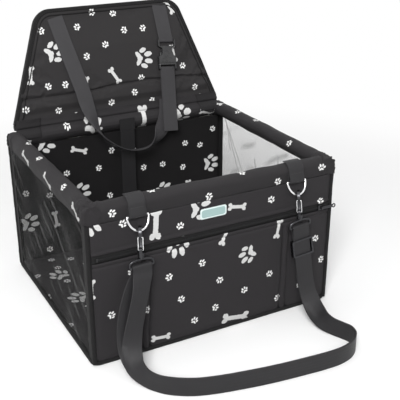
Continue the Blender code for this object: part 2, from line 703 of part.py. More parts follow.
def ring_tab():
    """Webbing sewn over the sleeve, round the ring's bar and back up behind itself."""
    turn = RING_WIRE + GAP + WEBBING / 2
    back = -HALF_DEPTH - GAP - WEBBING / 2
    top = RIM_AXIS_HEIGHT
    over = SLEEVE_RADIUS + 2 * GAP + 1.5 * WEBBING
    sleeve_y = -(HALF_DEPTH - SLEEVE_RADIUS)
    across = Vector((1, 0, 0))
    places = [Vector((0, back, top - GAP)), Vector((0, back, RING_AXIS.z))]
    for step in range(1, 7):
        angle = math.pi * step / 6
        places.append(RING_AXIS + turn * Vector((0, math.cos(angle), -math.sin(angle))))
    for step in range(5):
        angle = math.radians(180 - 100 * step / 4)
        places.append(Vector((0, sleeve_y + over * math.cos(angle), top + over * math.sin(angle))))
    return ribbon([(place, across) for place in places], TAB_WIDTH, WEBBING)


def rings(stuff):
    for word, side in (("left", -1), ("right", 1)):
        x = side * RING_SPACING / 2
        part("ring_tab_" + word, ring_tab(), stuff["webbing"], location=(x, 0, 0))
        hinge = frame("ring_hinge_" + word, (x, RING_AXIS.y, RING_AXIS.z), (-RING_LEAN, 0, 0))
        shape = wire(d_shape(RING_HALF_WIDTH, RING_REACH, 1, 16), RING_WIRE, closed=True)
        part("d_ring_" + word, shape, stuff["nickel"], hinge, smooth=True)
    middle = -LABEL_SHIFT
    height = SEAM_HEIGHT - LABEL_DROP
    back = -OUTER_LAYER - GAP
    part("cloth_label", block(
        (middle - LABEL_WIDTH / 2, back - LABEL_THICKNESS, height - LABEL_HEIGHT / 2),
        (middle + LABEL_WIDTH / 2, back, height + LABEL_HEIGHT / 2),
    ), stuff["label"])


def hook_outline():
    """The hook's side view: x is towards its shank, y is up, and the wire it hangs from is at zero."""
    centre = (0, -HOOK_DROP)
    outer = HOOK_BOW_RADIUS + HOOK_WALL
    foot = -BARREL_TOP - BARREL_LENGTH / 4
    pivot_y = GATE_PIVOT[1]
    cheek = GATE_WIRE + GATE_CLEARANCE + HOOK_WALL / 2
    outline = arc(centre, outer, 205, -5, 12)
    outline += [
        (outer * 0.86, centre[1] - outer * 1.15),
        (BARREL_RADIUS, -BARREL_TOP + BARREL_RADIUS),
        (BARREL_RADIUS * 0.8, foot),
        (-BARREL_RADIUS * 0.8, foot),
        (GATE_PIVOT[0] - cheek, pivot_y - cheek / 2),
        (GATE_PIVOT[0] - cheek, pivot_y + cheek / 2),
        (GATE_PIVOT[0] - cheek / 2, pivot_y + cheek),
        (GATE_PIVOT[0] + cheek, pivot_y + cheek),
        (HOOK_BOW_RADIUS * 0.84, centre[1] - outer * 0.95),
    ]
    outline += arc(centre, HOOK_BOW_RADIUS, -10, 210, 12)
    return outline


def hook_set(word, hanger, yaw, stuff):
    """A swivel eye, a hook body that turns on it and a wire gate. The hanger is at the ring's wire."""
    post_top = -BARREL_TOP - POST_CAP
    arch = [(x, y, z - EYE_DROP) for x, y, z in d_shape(EYE_HALF_WIDTH, -EYE_ARCH, EYE_FULLNESS_SHARE, 14)]
    eye = part("snap_hook_eye_" + word, wire(arch, EYE_WIRE, closed=True), stuff["gunmetal"], hanger,
               smooth=True)
    combine(eye, rod((0, 0, post_top), (0, 0, EYE_ARCH - EYE_DROP), POST_RADIUS, 12), "UNION")
    swivel = frame("swivel_" + word, (0, 0, 0), (0, 0, yaw), hanger)
    body = plate([hook_outline()], HOOK_THICKNESS, FACING_SIDE)
    hook = part("snap_hook_" + word, body, stuff["gunmetal"], swivel, smooth=True)
    barrel_foot = -BARREL_TOP - BARREL_LENGTH
    combine(hook, rod((0, 0, -BARREL_TOP), (0, 0, barrel_foot), BARREL_RADIUS), "UNION")
    bore = POST_RADIUS + POST_CLEARANCE
    combine(hook, rod((0, 0, post_top + POST_CLEARANCE), (0, 0, barrel_foot - CUT_OVERRUN), bore, 12),
            "DIFFERENCE")
    pivot_y, pivot_z = GATE_PIVOT
    pin = GATE_WIRE + GATE_CLEARANCE
    side = HOOK_THICKNESS
    combine(hook, rod((-side, pivot_y, pivot_z), (side, pivot_y, pivot_z), pin, 12), "DIFFERENCE")
    pivot = frame("gate_pivot_" + word, (0, pivot_y, pivot_z), (0, 0, 0), swivel)
    tip_y = GATE_TIP[0] - pivot_y
    tip_z = GATE_TIP[1] - pivot_z
    wide = GATE_HALF_WIDTH
    loop = [(-wide, 0, 0), (wide, 0, 0), (wide, tip_y, tip_z), (-wide, tip_y, tip_z)]
    part("snap_gate_" + word, wire(loop, GATE_WIRE, closed=True), stuff["nickel"], pivot, smooth=True)


def half_gap(parting):
    """Half the gap between the strap's layers: at 0 they lie flat, at 1 they go round an eye."""
    return LAYER_HALF_GAP + parting * (EYE_TURN - LAYER_HALF_GAP)


def carry_route(left_eye, right_eye, right_bar):
    """The middle of the doubled strap, from the left eye over the floor to the right one.

    A row holds the place, the direction across the webbing, the half gap between the two layers
    and how far they are spread sideways.
    """
    rows = [(*left_eye, 1, 0, 0, EYE_TURN, 0)]
    rows.append((left_eye[0], left_eye[1] - LEG_OUT, left_eye[2] - LEG_DROP, 1, 0, 0, EYE_TURN, 0))
    for x, y, z, *rest in CARRY_ROUTE_SHARES:
        place = (-x * left_eye[0], -y * left_eye[1], z * left_eye[2])
        rows.append((*place, *rest[:3], half_gap(rest[3]), rest[4] * STRAP_WIDTH))
    start = Vector(rows[-1][:3])
    straight = Vector(right_eye) - start
    for share, parting in RIGHT_LEG_SHARES:
        rows.append((*(start + share * straight), *right_bar, half_gap(parting), 0))
    return rows


def carry_layers(rows):
    """The two layers of the endless carry strap, joined by a turn round each eye."""
    path = smooth_route(rows, 4)
    outer = []
    inner = []
    for index, row in enumerate(path):
        ahead = path[min(index + 1, len(path) - 1)]
        behind = path[max(index - 1, 0)]
        along = (Vector(ahead[:3]) - Vector(behind[:3])).normalized()
        across = Vector(row[3:6])
        across = (across - across.dot(along) * along).normalized()
        proud = along.cross(across)
        place = Vector(row[:3])
        half_gap, spread = row[6], row[7]
        outer.append((place + half_gap * proud + spread * across, across, proud, along))
        inner.append((place - half_gap * proud - spread * across, across, proud, along))
    stations = [(place, across) for place, across, _, _ in outer]
    last_place = Vector(path[-1][:3])
    stations += eye_turn(last_place, outer[-1], 1)
    stations += [(place, across) for place, across, _, _ in reversed(inner)]
    first_place = Vector(path[0][:3])
    stations += eye_turn(first_place, outer[0], -1)
    return stations


def eye_turn(centre, station, way):
    """Stations round an eye's bar, from one layer to the other."""
    _, across, proud, along = station
    turn = []
    for step in range(1, 6):
        angle = math.pi * step / 6
        side = way * math.cos(angle)
        turn.append((centre + EYE_TURN * (side * proud + way * math.sin(angle) * along), across))
    return turn


def adjuster(stuff, rows, right_eye):
    """A three-bar slide: outer bars in front of the doubled webbing and the middle bar behind it."""
    start = Vector(rows[-7][:3])
    along = (Vector(right_eye) - start).normalized()
    across = Vector(rows[-1][3:6])
    across = (across - across.dot(along) * along).normalized()
    back = along.cross(across)
    turn = Matrix((across, back, along)).transposed().to_4x4()
    place = Vector(right_eye) - ADJUSTER_DROP * along
    pivot = frame("adjuster_frame", place, turn.to_euler())
    half_x = ADJUSTER_WIDTH / 2
    half_z = ADJUSTER_HEIGHT / 2
    stack = LAYER_HALF_GAP + WEBBING / 2 + GAP
    deep = stack + ADJUSTER_PLATE
    outer = rounded([(-half_x, -half_z), (half_x, -half_z), (half_x, half_z), (-half_x, half_z)],
                    [ADJUSTER_RAIL] * 4, 3)
    slot_x = half_x - ADJUSTER_RAIL
    slot_z = half_z - ADJUSTER_BAR
    hole = [(-slot_x, -slot_z), (-slot_x, slot_z), (slot_x, slot_z), (slot_x, -slot_z)]
    ring = plate([outer, hole], 2 * deep, FACING_FRONT)
    slide = part("strap_adjuster", ring, stuff["gunmetal"], pivot)
    combine(slide, block((-slot_x, -stack, -half_z - CUT_OVERRUN), (slot_x, deep + CUT_OVERRUN, half_z + CUT_OVERRUN)),
            "DIFFERENCE")
    bar = ADJUSTER_BAR / 2
    reach = slot_x + ADJUSTER_RAIL / 2
    combine(slide, block((-reach, stack, -bar), (reach, deep, bar)), "UNION")


def carry_strap(stuff):
    left = frame("hook_hanger_left", (-RING_SPACING / 2, RING_FOOT.y, RING_FOOT.z))
    right = frame("hook_hanger_right", (RING_SPACING / 2, RING_FOOT.y, RING_FOOT.z), (0, HOOK_LEAN_RIGHT, 0))
    hook_set("left", left, HOOK_YAW_LEFT, stuff)
    hook_set("right", right, HOOK_YAW_RIGHT, stuff)
    down = Vector((0, 0, -EYE_DROP))
    left_eye = left.location + down
    lean = Matrix.Rotation(HOOK_LEAN_RIGHT, 3, "Y")
    right_eye = right.location + lean @ down
    rows = carry_route(left_eye, right_eye, lean @ Vector((1, 0, 0)))
    webbing = ribbon(carry_layers(rows), STRAP_WIDTH, WEBBING, closed=True)
    part("carry_strap_webbing", webbing, stuff["webbing"])
    adjuster(stuff, rows, right_eye)


def headrest_plane(hinge):
    """A frame at the strap's sewn ends: z is up the strap, y is back into the flap."""
    up = Vector((0, math.sin(FLAP_TILT), math.cos(FLAP_TILT)))
    out = Vector((0, -math.cos(FLAP_TILT), math.sin(FLAP_TILT)))
    place = FLAP_AXIS + STRAP_ANCHOR * up + (FLAP_HALF + STRAP_OFF_FACE) * out
    return frame("headrest_strap_hinge", place, (-STRAP_LEAN, 0, 0))


def headrest_route():
    """The long webbing: across, back and up from the middle of its hinge, and its twist."""
    half_top = FLAP_TOP_WIDTH / 2
    return [
        (x * half_top, y * STRAP_DROP, z * STRAP_DROP, twist) for x, y, z, twist in HEADREST_ROUTE_SHARES
    ]


def twisted(rows, steps):
    """Stations in the X-Z plane whose across direction turns out of that plane by the twist."""
    path = smooth_route(rows, steps)
    stations = []
    for index, row in enumerate(path):
        ahead = path[min(index + 1, len(path) - 1)]
        behind = path[max(index - 1, 0)]
        along = Vector((ahead[0] - behind[0], 0, ahead[2] - behind[2])).normalized()
        level = Vector((-along.z, 0, along.x))
        twist = math.radians(row[3])
        across = math.cos(twist) * level + math.sin(twist) * Vector((0, 1, 0))
        stations.append((Vector(row[:3]), across))
    return stations


def bar_turn(centre, radius, way, across, steps=6):
    """Stations over a bar along X: way 1 turns over its top, way -1 under it, from front to back."""
    turn = []
    for step in range(steps + 1):
        angle = math.pi * step / steps
        place = centre + radius * Vector((0, -math.cos(angle), way * math.sin(angle)))
        turn.append((place, across))
    return turn


def headrest_strap(stuff, hinge):
    plane = headrest_plane(hinge)
    long_part = ribbon(twisted(headrest_route(), 3), HEADREST_STRAP_WIDTH, WEBBING)
    part("headrest_strap_long", long_part, stuff["webbing"], plane)
    buckle = frame("buckle_axis", (BUCKLE_ACROSS, 0, -BUCKLE_DOWN), (0, BUCKLE_TILT, 0), plane)
    turn = BUCKLE_BAR + GAP + WEBBING / 2
    bar = Vector((0, 0, BUCKLE_HALF_LENGTH - BUCKLE_BAR - GAP))
    top = Vector((RIGHT_ANCHOR - BUCKLE_ACROSS, 0, BUCKLE_DOWN))
    top.rotate(Matrix.Rotation(-BUCKLE_TILT, 3, "Y"))
    across = Vector((1, 0, 0))
    lap = BUCKLE_HALF_LENGTH
    stations = [(top, across), (bar + 0.5 * (top - bar) + Vector((0, -WEBBING, 0)), across)]
    stations += bar_turn(bar, turn, -1, across)
    stations.append((bar + Vector((0, WEBBING + 2 * GAP, lap)), across))
    short = ribbon(stations, HEADREST_STRAP_WIDTH, WEBBING, level_ends=True)
    part("headrest_strap_short", short, stuff["webbing"], buckle)
    buckle_female(stuff, buckle, bar)
    buckle_male(stuff, buckle, turn)


def buckle_female(stuff, buckle, bar):
    half_x = BUCKLE_WIDTH / 2
    half_z = BUCKLE_HALF_LENGTH
    waist = BUCKLE_WAIST / 2
    side = [
        (half_x, -half_z), (half_x, -half_z * MOUTH_SHARE), (waist, -half_z * WAIST_SHARE),
        (waist, half_z * WAIST_SHARE), (half_x, half_z * SHOULDER_SHARE), (half_x, half_z),
    ]
    outline = side + [(-x, z) for x, z in reversed(side)]
    female = part("buckle_female", plate([outline], BUCKLE_THICKNESS, FACING_FRONT), stuff["buckle"], buckle)
    cavity_x = BUCKLE_CAVITY_WIDTH / 2
    deep = BUCKLE_CAVITY / 2
    top = BUCKLE_HALF_LENGTH - BUCKLE_CHEEK - 2 * BUCKLE_BAR
    combine(female, block((-cavity_x, -deep, -half_z - CUT_OVERRUN), (cavity_x, deep, top)), "DIFFERENCE")
    slot = BUCKLE_SLOT_WIDTH / 2
    thick = BUCKLE_THICKNESS
    combine(female, block((-slot, -thick, half_z - BUCKLE_CHEEK), (slot, thick, half_z + CUT_OVERRUN)),
            "DIFFERENCE")
    reach = (half_x + slot) / 2
    combine(female, rod((-reach, 0, bar.z), (reach, 0, bar.z), BUCKLE_BAR, 12), "UNION")


def buckle_male(stuff, buckle, turn):
    head = -BUCKLE_HALF_LENGTH - GAP
    half_x = BUCKLE_WIDTH / 2
    thick = BUCKLE_THICKNESS / 2
    foot = head - MALE_LENGTH
    slot = BUCKLE_SLOT_WIDTH / 2
    male = part("buckle_male", block((-half_x, -thick, foot), (half_x, thick, head)), stuff["buckle"], buckle)
    combine(male, block((-slot, -2 * thick, foot - CUT_OVERRUN), (slot, 2 * thick, head - MALE_BLOCK)),
            "DIFFERENCE")
    bar = Vector((0, 0, foot + BUCKLE_BAR + GAP))
    reach = (half_x + slot) / 2
    combine(male, rod((-reach, 0, bar.z), (reach, 0, bar.z), BUCKLE_BAR, 12), "UNION")
    tongue = TONGUE_WIDTH / 2
    deep = BUCKLE_CAVITY / 2 - GAP
    tip = head + ARM_LENGTH - ARM_WIDTH
    combine(male, block((-tongue, -deep, head - MALE_BLOCK / 2), (tongue, deep, tip)), "UNION")
    outer = BUCKLE_CAVITY_WIDTH / 2 - GAP
    inner = outer - ARM_WIDTH
    for word, side in (("left", -1), ("right", 1)):
        root = head + GAP + ARM_WIDTH / 2
        pivot = frame("arm_root_" + word, (side * (inner + outer) / 2, 0, root), (0, 0, 0), buckle)
        half = ARM_WIDTH / 2
        neck = half / 2
        shape = [
            (-neck, 0), (neck, 0), (half, ARM_LENGTH * WAIST_SHARE), (half, ARM_LENGTH - 2 * ARM_WIDTH),
            (0, ARM_LENGTH - ARM_WIDTH), (-half, ARM_LENGTH - 2 * ARM_WIDTH), (-neck, ARM_LENGTH * WAIST_SHARE),
        ]
        shape = [(side * x, z - half) for x, z in shape]
        if side < 0:
            shape.reverse()
        arm = plate([shape], ARM_THICKNESS, FACING_FRONT)
        part("buckle_press_arm_" + word, arm, stuff["buckle"], pivot)
    across = Vector((1, 0, 0))
    flat = LAYER_HALF_GAP
    end = bar - Vector((0, 0, TAIL_LENGTH))
    fold = end + Vector((0, 0, TAIL_FOLD))
    narrow = bar - Vector((0, 0, 3 * turn))
    stations = [(end + Vector((0, -flat, 0)), across), (fold + Vector((0, -flat, 0)), across)]
    stations.append((narrow + Vector((0, -flat, 0)), across))
    stations += bar_turn(bar, turn, 1, across)
    stations.append((narrow + Vector((0, flat, 0)), across))
    stations += [(fold + Vector((0, flat, 0)), across), (end + Vector((0, flat, 0)), across)]
    part("headrest_strap_tail", ribbon(stations, HEADREST_STRAP_WIDTH, WEBBING), stuff["webbing"], buckle)


def tether(stuff):
    x = TETHER_ACROSS
    front = HALF_DEPTH - 2 * SLEEVE_RADIUS - GAP
    middle = front - WEBBING / 2
    half = STRAP_WIDTH / 2
    tab_low = TETHER_TOP + GAP
    tab = block((x - half, front - WEBBING, tab_low), (x + half, front, tab_low + TETHER_TAB_HEIGHT))
    part("tether_tab", tab, stuff["webbing"])
    across = Vector((1, 0, 0))
    upper = ribbon([
        (Vector((x, middle, TETHER_TOP)), across),
        (Vector((x, middle, TETHER_BEND + WEBBING / 2 + 2 * GAP)), across),
    ], HEADREST_STRAP_WIDTH, WEBBING)
    part("tether_upper_webbing", upper, stuff["webbing"])
    bend = frame("tether_bend", (x, middle, TETHER_BEND))
    eye = Vector((0, 0, TETHER_EYE - TETHER_BEND))
    stations = [(Vector((0, 0, WEBBING / 2)), across)]
    stations.append((eye + Vector((0, -WEBBING / 2, 3 * EYE_TURN)), across))
    stations += bar_turn(eye, EYE_TURN, -1, across)
    stations.append((eye + Vector((0, WEBBING + GAP, 3 * EYE_TURN)), across))
    stations.append((eye + Vector((0, WEBBING + GAP, 6 * EYE_TURN)), across))
    lower = ribbon(stations, HEADREST_STRAP_WIDTH, WEBBING)
    part("tether_lower_webbing", lower, stuff["webbing"], bend)
    hanger = frame("hook_hanger_tether", (0, 0, eye.z - EYE_DROP), (0, math.pi, 0), bend)
    hook_set("tether", hanger, 0, stuff)


def main():
    clear_scene()
    stuff = finishes()
    base(stuff)
    walls(stuff)
    rim(stuff)
    hinge = flap(stuff)
    zip_pieces(stuff)
    rings(stuff)
    carry_strap(stuff)
    headrest_strap(stuff, hinge)
    tether(stuff)


main()
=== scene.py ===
"""The looks of a booster car seat for a small dog, built round its solid frame, in metres."""
import functools
import json
from math import atan2, cos, degrees, exp, hypot, pi, radians, sin, sqrt

import bmesh
import bpy
from mathutils import Matrix, Vector, noise

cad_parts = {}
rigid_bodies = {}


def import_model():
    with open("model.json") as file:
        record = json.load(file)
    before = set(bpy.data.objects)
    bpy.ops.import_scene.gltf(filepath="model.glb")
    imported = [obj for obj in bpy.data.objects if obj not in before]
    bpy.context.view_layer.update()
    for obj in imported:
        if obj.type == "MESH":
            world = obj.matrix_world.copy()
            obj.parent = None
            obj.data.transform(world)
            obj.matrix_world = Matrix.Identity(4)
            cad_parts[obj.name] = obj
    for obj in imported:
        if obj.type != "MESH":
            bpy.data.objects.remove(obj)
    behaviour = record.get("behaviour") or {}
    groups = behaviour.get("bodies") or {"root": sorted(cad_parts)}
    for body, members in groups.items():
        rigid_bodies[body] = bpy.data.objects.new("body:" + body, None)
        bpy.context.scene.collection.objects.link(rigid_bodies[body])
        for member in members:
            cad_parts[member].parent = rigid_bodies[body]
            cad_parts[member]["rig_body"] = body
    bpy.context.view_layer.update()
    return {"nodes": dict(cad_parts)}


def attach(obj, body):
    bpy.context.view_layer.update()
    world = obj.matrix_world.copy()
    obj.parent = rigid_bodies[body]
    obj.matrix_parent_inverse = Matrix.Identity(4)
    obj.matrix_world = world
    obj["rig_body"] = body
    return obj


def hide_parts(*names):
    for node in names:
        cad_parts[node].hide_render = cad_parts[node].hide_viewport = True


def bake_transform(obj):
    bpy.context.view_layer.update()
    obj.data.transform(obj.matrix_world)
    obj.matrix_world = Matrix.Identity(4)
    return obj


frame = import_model()

RIGHT, BACK, UP = Vector((1, 0, 0)), Vector((0, 1, 0)), Vector((0, 0, 1))

# The box: its outside, the cloth of its walls, and the sleeve round the rim's tube
HALF_WIDTH, HALF_DEPTH = 0.205, 0.180
RIM_HEIGHT, SEAM_HEIGHT = 0.250, 0.2225
WALL_FOOT, WALL_TOP = 0.0067, 0.2222
WALL_HALF_WIDTH, NET_HALF_WIDTH = 0.1977, 0.1727
SLEEVE_RADIUS = 0.0120
TUBE_X, TUBE_Y, TUBE_Z = HALF_WIDTH - SLEEVE_RADIUS, HALF_DEPTH - SLEEVE_RADIUS, RIM_HEIGHT - SLEEVE_RADIUS
CORNERS = ((-1, -1), (1, -1), (1, 1), (-1, 1))

# The flap, which leans back from the fold line
FLAP_TILT = radians(13.0)
FLAP_AXIS = Vector((0, 0.172, 0.2551))
FLAP_UP = Vector((0, sin(FLAP_TILT), cos(FLAP_TILT)))
FLAP_OUT = Vector((0, -cos(FLAP_TILT), sin(FLAP_TILT)))
FLAP_LENGTH = 0.187
FLAP_BOTTOM, FLAP_TOP = 0.195, 0.128
FLAP_TOP_CORNER = 0.022
FLAP_HALF = 0.0051
FLAP_HEM = 0.0054
CREASE_HEIGHT = 0.046

# Webbing, the air between it and a bar, and how far from a bar's middle it turns
WEBBING = 0.0014
STRAP_WIDTH, NARROW_WIDTH, TAB_WIDTH = 0.029, 0.027, 0.026
AIR = 0.0003
BAR_RADIUS, EYE_RADIUS = 0.0016, 0.0019
BAR_TURN = BAR_RADIUS + AIR + WEBBING / 2
EYE_TURN = EYE_RADIUS + AIR + WEBBING / 2
LAYER_HALF_GAP = (WEBBING + AIR) / 2
RING_X, RING_Y, RING_Z = 0.130, -0.1836, 0.2255
HANGER_Y, HANGER_Z = -0.19173, 0.20635
EYE_DROP = 0.054

# ------------------------------------------------------------------ nodes


class Wire:
    """What a socket gives. The arithmetic that is written with it is done by nodes."""

    def __init__(self, socket):
        self.socket = socket

    def __add__(self, other):
        return reckon("ADD", self, other)

    def __sub__(self, other):
        return reckon("SUBTRACT", self, other)

    def __rsub__(self, other):
        return reckon("SUBTRACT", other, self)

    def __mul__(self, other):
        return reckon("MULTIPLY", self, other)

    def __truediv__(self, other):
        return reckon("DIVIDE", self, other)

    def __abs__(self):
        return reckon("ABSOLUTE", self)


def join(value, socket):
    """Gives a socket a wire, a number, a vector or a colour."""
    if isinstance(value, Wire):
        socket.id_data.links.new(value.socket, socket)
    else:
        socket.default_value = (*value, 1.0) if socket.type == "RGBA" else value


def place(kind, inputs=None, tree=None, **settings):
    """A new node, as the wires that leave it by name and by number. It lies in the tree of the wires it takes."""
    inputs = inputs or {}
    tree = tree or next(value.socket.id_data for value in inputs.values() if isinstance(value, Wire))
    node = tree.nodes.new("ShaderNode" + kind)
    for name, value in settings.items():
        setattr(node, name, value)
    for name, value in inputs.items():
        join(value, node.inputs[name])
    return {key: Wire(socket) for number, socket in enumerate(node.outputs) for key in (number, socket.name)}


def reckon(operation, *values):
    """Node arithmetic on numbers, or on vectors if a vector is among the values."""
    vector = any(isinstance(value, Wire) and value.socket.type == "VECTOR" for value in values)
    made = place("VectorMath" if vector else "Math", dict(enumerate(values)), operation=operation)
    return made[1 if operation == "LENGTH" else 0]


def largest(*values):
    return functools.reduce(lambda first, second: reckon("MAXIMUM", first, second), values)


def split(vector):
    made = place("SeparateXYZ", {0: vector})
    return made[0], made[1], made[2]


def combined(x, y, z=0.0):
    return place("CombineXYZ", {0: x, 1: y, 2: z})[0]


def rotated(vector, angle):
    return place("VectorRotate", {"Vector": vector, "Angle": angle}, rotation_type="Z_AXIS")[0]


def ramp(value, low, high, to_low=0.0, to_high=1.0):
    """A smooth step from one level to the other."""
    return place("MapRange", dict(enumerate((value, low, high, to_low, to_high))), interpolation_type="SMOOTHSTEP")[0]


def chosen(share, first, second):
    return place("Mix", {0: share, 2: first, 3: second})[0]


def blend(share, first, second):
    return place("Mix", {0: share, 6: first, 7: second}, data_type="RGBA")[2]


def shades(share, colour, low, high):
    """A colour that runs from a darker to a lighter shade of itself."""
    return blend(share, *(tuple(by * part for part in colour) for by in (low, high)))


def flat_noise(vector, scale, detail=2.0, roughness=0.5):
    return place("TexNoise", {"Vector": vector, "Scale": scale, "Detail": detail, "Roughness": roughness})[0]


SHARED = {}


def shared(name, **inputs):
    """Makes a node group of a function that takes the wires of the inputs and returns those of the outputs."""
    def make(draw):
        tree = SHARED[name] = bpy.data.node_groups.new(name, "ShaderNodeTree")

        def socket(label, way, vector):
            kind = "NodeSocketVector" if vector else "NodeSocketFloat"
            return tree.interface.new_socket(label, in_out=way, socket_type=kind)

        for label, value in inputs.items():
            socket(label, "INPUT", isinstance(value, tuple)).default_value = value
        given = tree.nodes.new("NodeGroupInput").outputs
        drawn = draw(*(Wire(given[label]) for label in inputs))
        for label, wire in drawn.items():
            socket(label, "OUTPUT", wire.socket.type == "VECTOR")
        result = tree.nodes.new("NodeGroupOutput").inputs
        for label, wire in drawn.items():
            join(wire, result[label])
        return draw
    return make


def use(group, **inputs):
    return place("Group", inputs, node_tree=SHARED[group])


# ------------------------------------------------------------------ print, weave and wear


@shared("paw_and_bone", Offset=(0, 0, 0), Style=(0, 0, 0.01))
def paw_and_bone(offset, style):
    """The printed mark: one where a point lies on a paw (kind 0) or on a bone (kind 1)."""
    turn, kind, size = split(style)
    along, side, _ = split(rotated(offset, turn * -1.0) / size)
    long_way, side = abs(along), abs(side)
    half, quarter = combined(along, side), combined(long_way, side)

    def oval(point, x, y, long, short, turned):
        """Above zero inside an oval of the half drawing, which its mirror completes."""
        spot = rotated(point - (x, y, 0), -radians(turned))
        return (1.0 - reckon("LENGTH", spot / (long, short, 1.0))) * min(long, short)

    pad = oval(half, -0.37, 0.0, 0.28, 0.25, 0)
    lobe = oval(half, -0.51, 0.30, 0.42, 0.215, 126)
    inner_toe = oval(half, 0.51, 0.34, 0.42, 0.235, 9)
    outer_toe = oval(half, -0.01, 0.75, 0.36, 0.215, 20)
    shaft = reckon("MINIMUM", 0.17 - side, 0.80 - long_way)
    bone = largest(oval(quarter, 0.79, 0.19, 0.22, 0.19, 20), shaft)
    ragged = flat_noise(offset, 420.0, 1.0) * 0.10 - 0.05
    distance = (chosen(kind, largest(pad, lobe, inner_toe, outer_toe), bone) + ragged) * size
    thick_ink = reckon("LESS_THAN", size, 0.008) * 0.24 + 0.76
    return {"Mask": ramp(distance, -0.00015, 0.00015) * thick_ink}


@shared("print_spot", Point=(0, 0, 0), Reach=100.0, Offset=(9, 9, 0), Style=(0, 0, 0.01),
        Centre=(0, 0, 0), Mark=(0, 0, 0.01))
def print_spot(point, best_reach, best_offset, best_style, centre, mark):
    """Keeps the nearer of two printed marks: the best so far and the one laid here."""
    offset = point - centre
    reach = reckon("LENGTH", offset) / split(mark)[2]
    nearer = reckon("LESS_THAN", reach, best_reach)

    def kept(best, mine):
        return place("Mix", {0: nearer, 4: best, 5: mine}, data_type="VECTOR")[1]

    return {"Reach": reckon("MINIMUM", reach, best_reach), "Offset": kept(best_offset, offset),
            "Style": kept(best_style, mark)}


@shared("scattered_print", Point=(0, 0, 0))
def scattered_print(point):
    """The print strewn at random: small paws, with a large paw or a bone here and there."""
    def strewn(where, spacing, randomness):
        return place("TexVoronoi", {"Vector": where, "Scale": 1 / spacing, "Randomness": randomness},
                     voronoi_dimensions="2D")

    def mark(cell, tints, kind, size):
        style = combined(tints[0] * 6.28, kind, size)
        return use("paw_and_bone", Offset=point - cell["Position"], Style=style)["Mask"]

    large, small = strewn(point, 0.088, 0.55), strewn(point, 0.044, 0.75)
    large_tints, small_tints = (place("SeparateColor", {0: cell["Color"]}) for cell in (large, small))
    kind = reckon("GREATER_THAN", large_tints[1], 0.5)
    clear = reckon("GREATER_THAN", strewn(small["Position"], 0.088, 0.55)["Distance"], 0.30)
    return {"Mask": largest(mark(large, large_tints, kind, kind * 0.0020 + 0.0180),
                            mark(small, small_tints, 0.0, 0.0062) * clear)}


@shared("plain_weave", Point=(0, 0, 0), Pitch=0.0007)
def plain_weave(point, pitch):
    """Warp over weft, with slubs along the threads and a faint unevenness over the cloth."""
    threads = point / pitch
    parts = split(threads)[:2]
    warp, weft = (abs(reckon("SINE", part * pi)) for part in parts)
    odd = reckon("PINGPONG", reckon("FLOOR", parts[0]) + reckon("FLOOR", parts[1]), 1.0)
    slub = (flat_noise(threads * (0.02, 1, 1), 0.8, 1.0) + flat_noise(threads * (1, 0.02, 1), 0.8, 1.0)) * 0.5
    broad = flat_noise(point, 28.0, 3.0)
    return {"Height": slub * 0.5 + chosen(odd, warp, weft), "Tone": slub * 0.5 + broad * 0.24 + 0.63}


@shared("webbing_ribs", Point=(0, 0, 0), Pitch=0.0013)
def webbing_ribs(point, pitch):
    """Ribs across a strap, in slanted courses side by side."""
    across, along, _ = split(point / pitch)
    rise = along + reckon("PINGPONG", across * 0.5, 1.0) * 0.85
    ribs, rows = (abs(reckon("SINE", course * pi)) for course in (rise, across))
    height = ribs * 0.6 + rows * 0.4
    return {"Height": height, "Tone": height * 0.30 + flat_noise(point, 60.0) * 0.4 + 0.57}


@shared("scuffs", Point=(0, 0, 0), Scale=300.0)
def scuffs(point, scale):
    """Fine scratches and soft patches of handling on metal and plastic."""
    scratch = flat_noise(point * (1.0, 6.0, 0.25), scale * 3.0)
    return {"Rub": ramp(flat_noise(point, scale, 4.0, 0.6), 0.35, 0.70), "Scratch": ramp(scratch, 0.55, 0.75)}


# Marks are paws, small 'p', middle 'M' or large 'P', and bones, short 'b' or long 'B': their kind and size
MARK_SIZES = {"p": (0, 0.0061), "M": (0, 0.0158), "P": (0, 0.0180), "b": (1, 0.0155), "B": (1, 0.0235)}
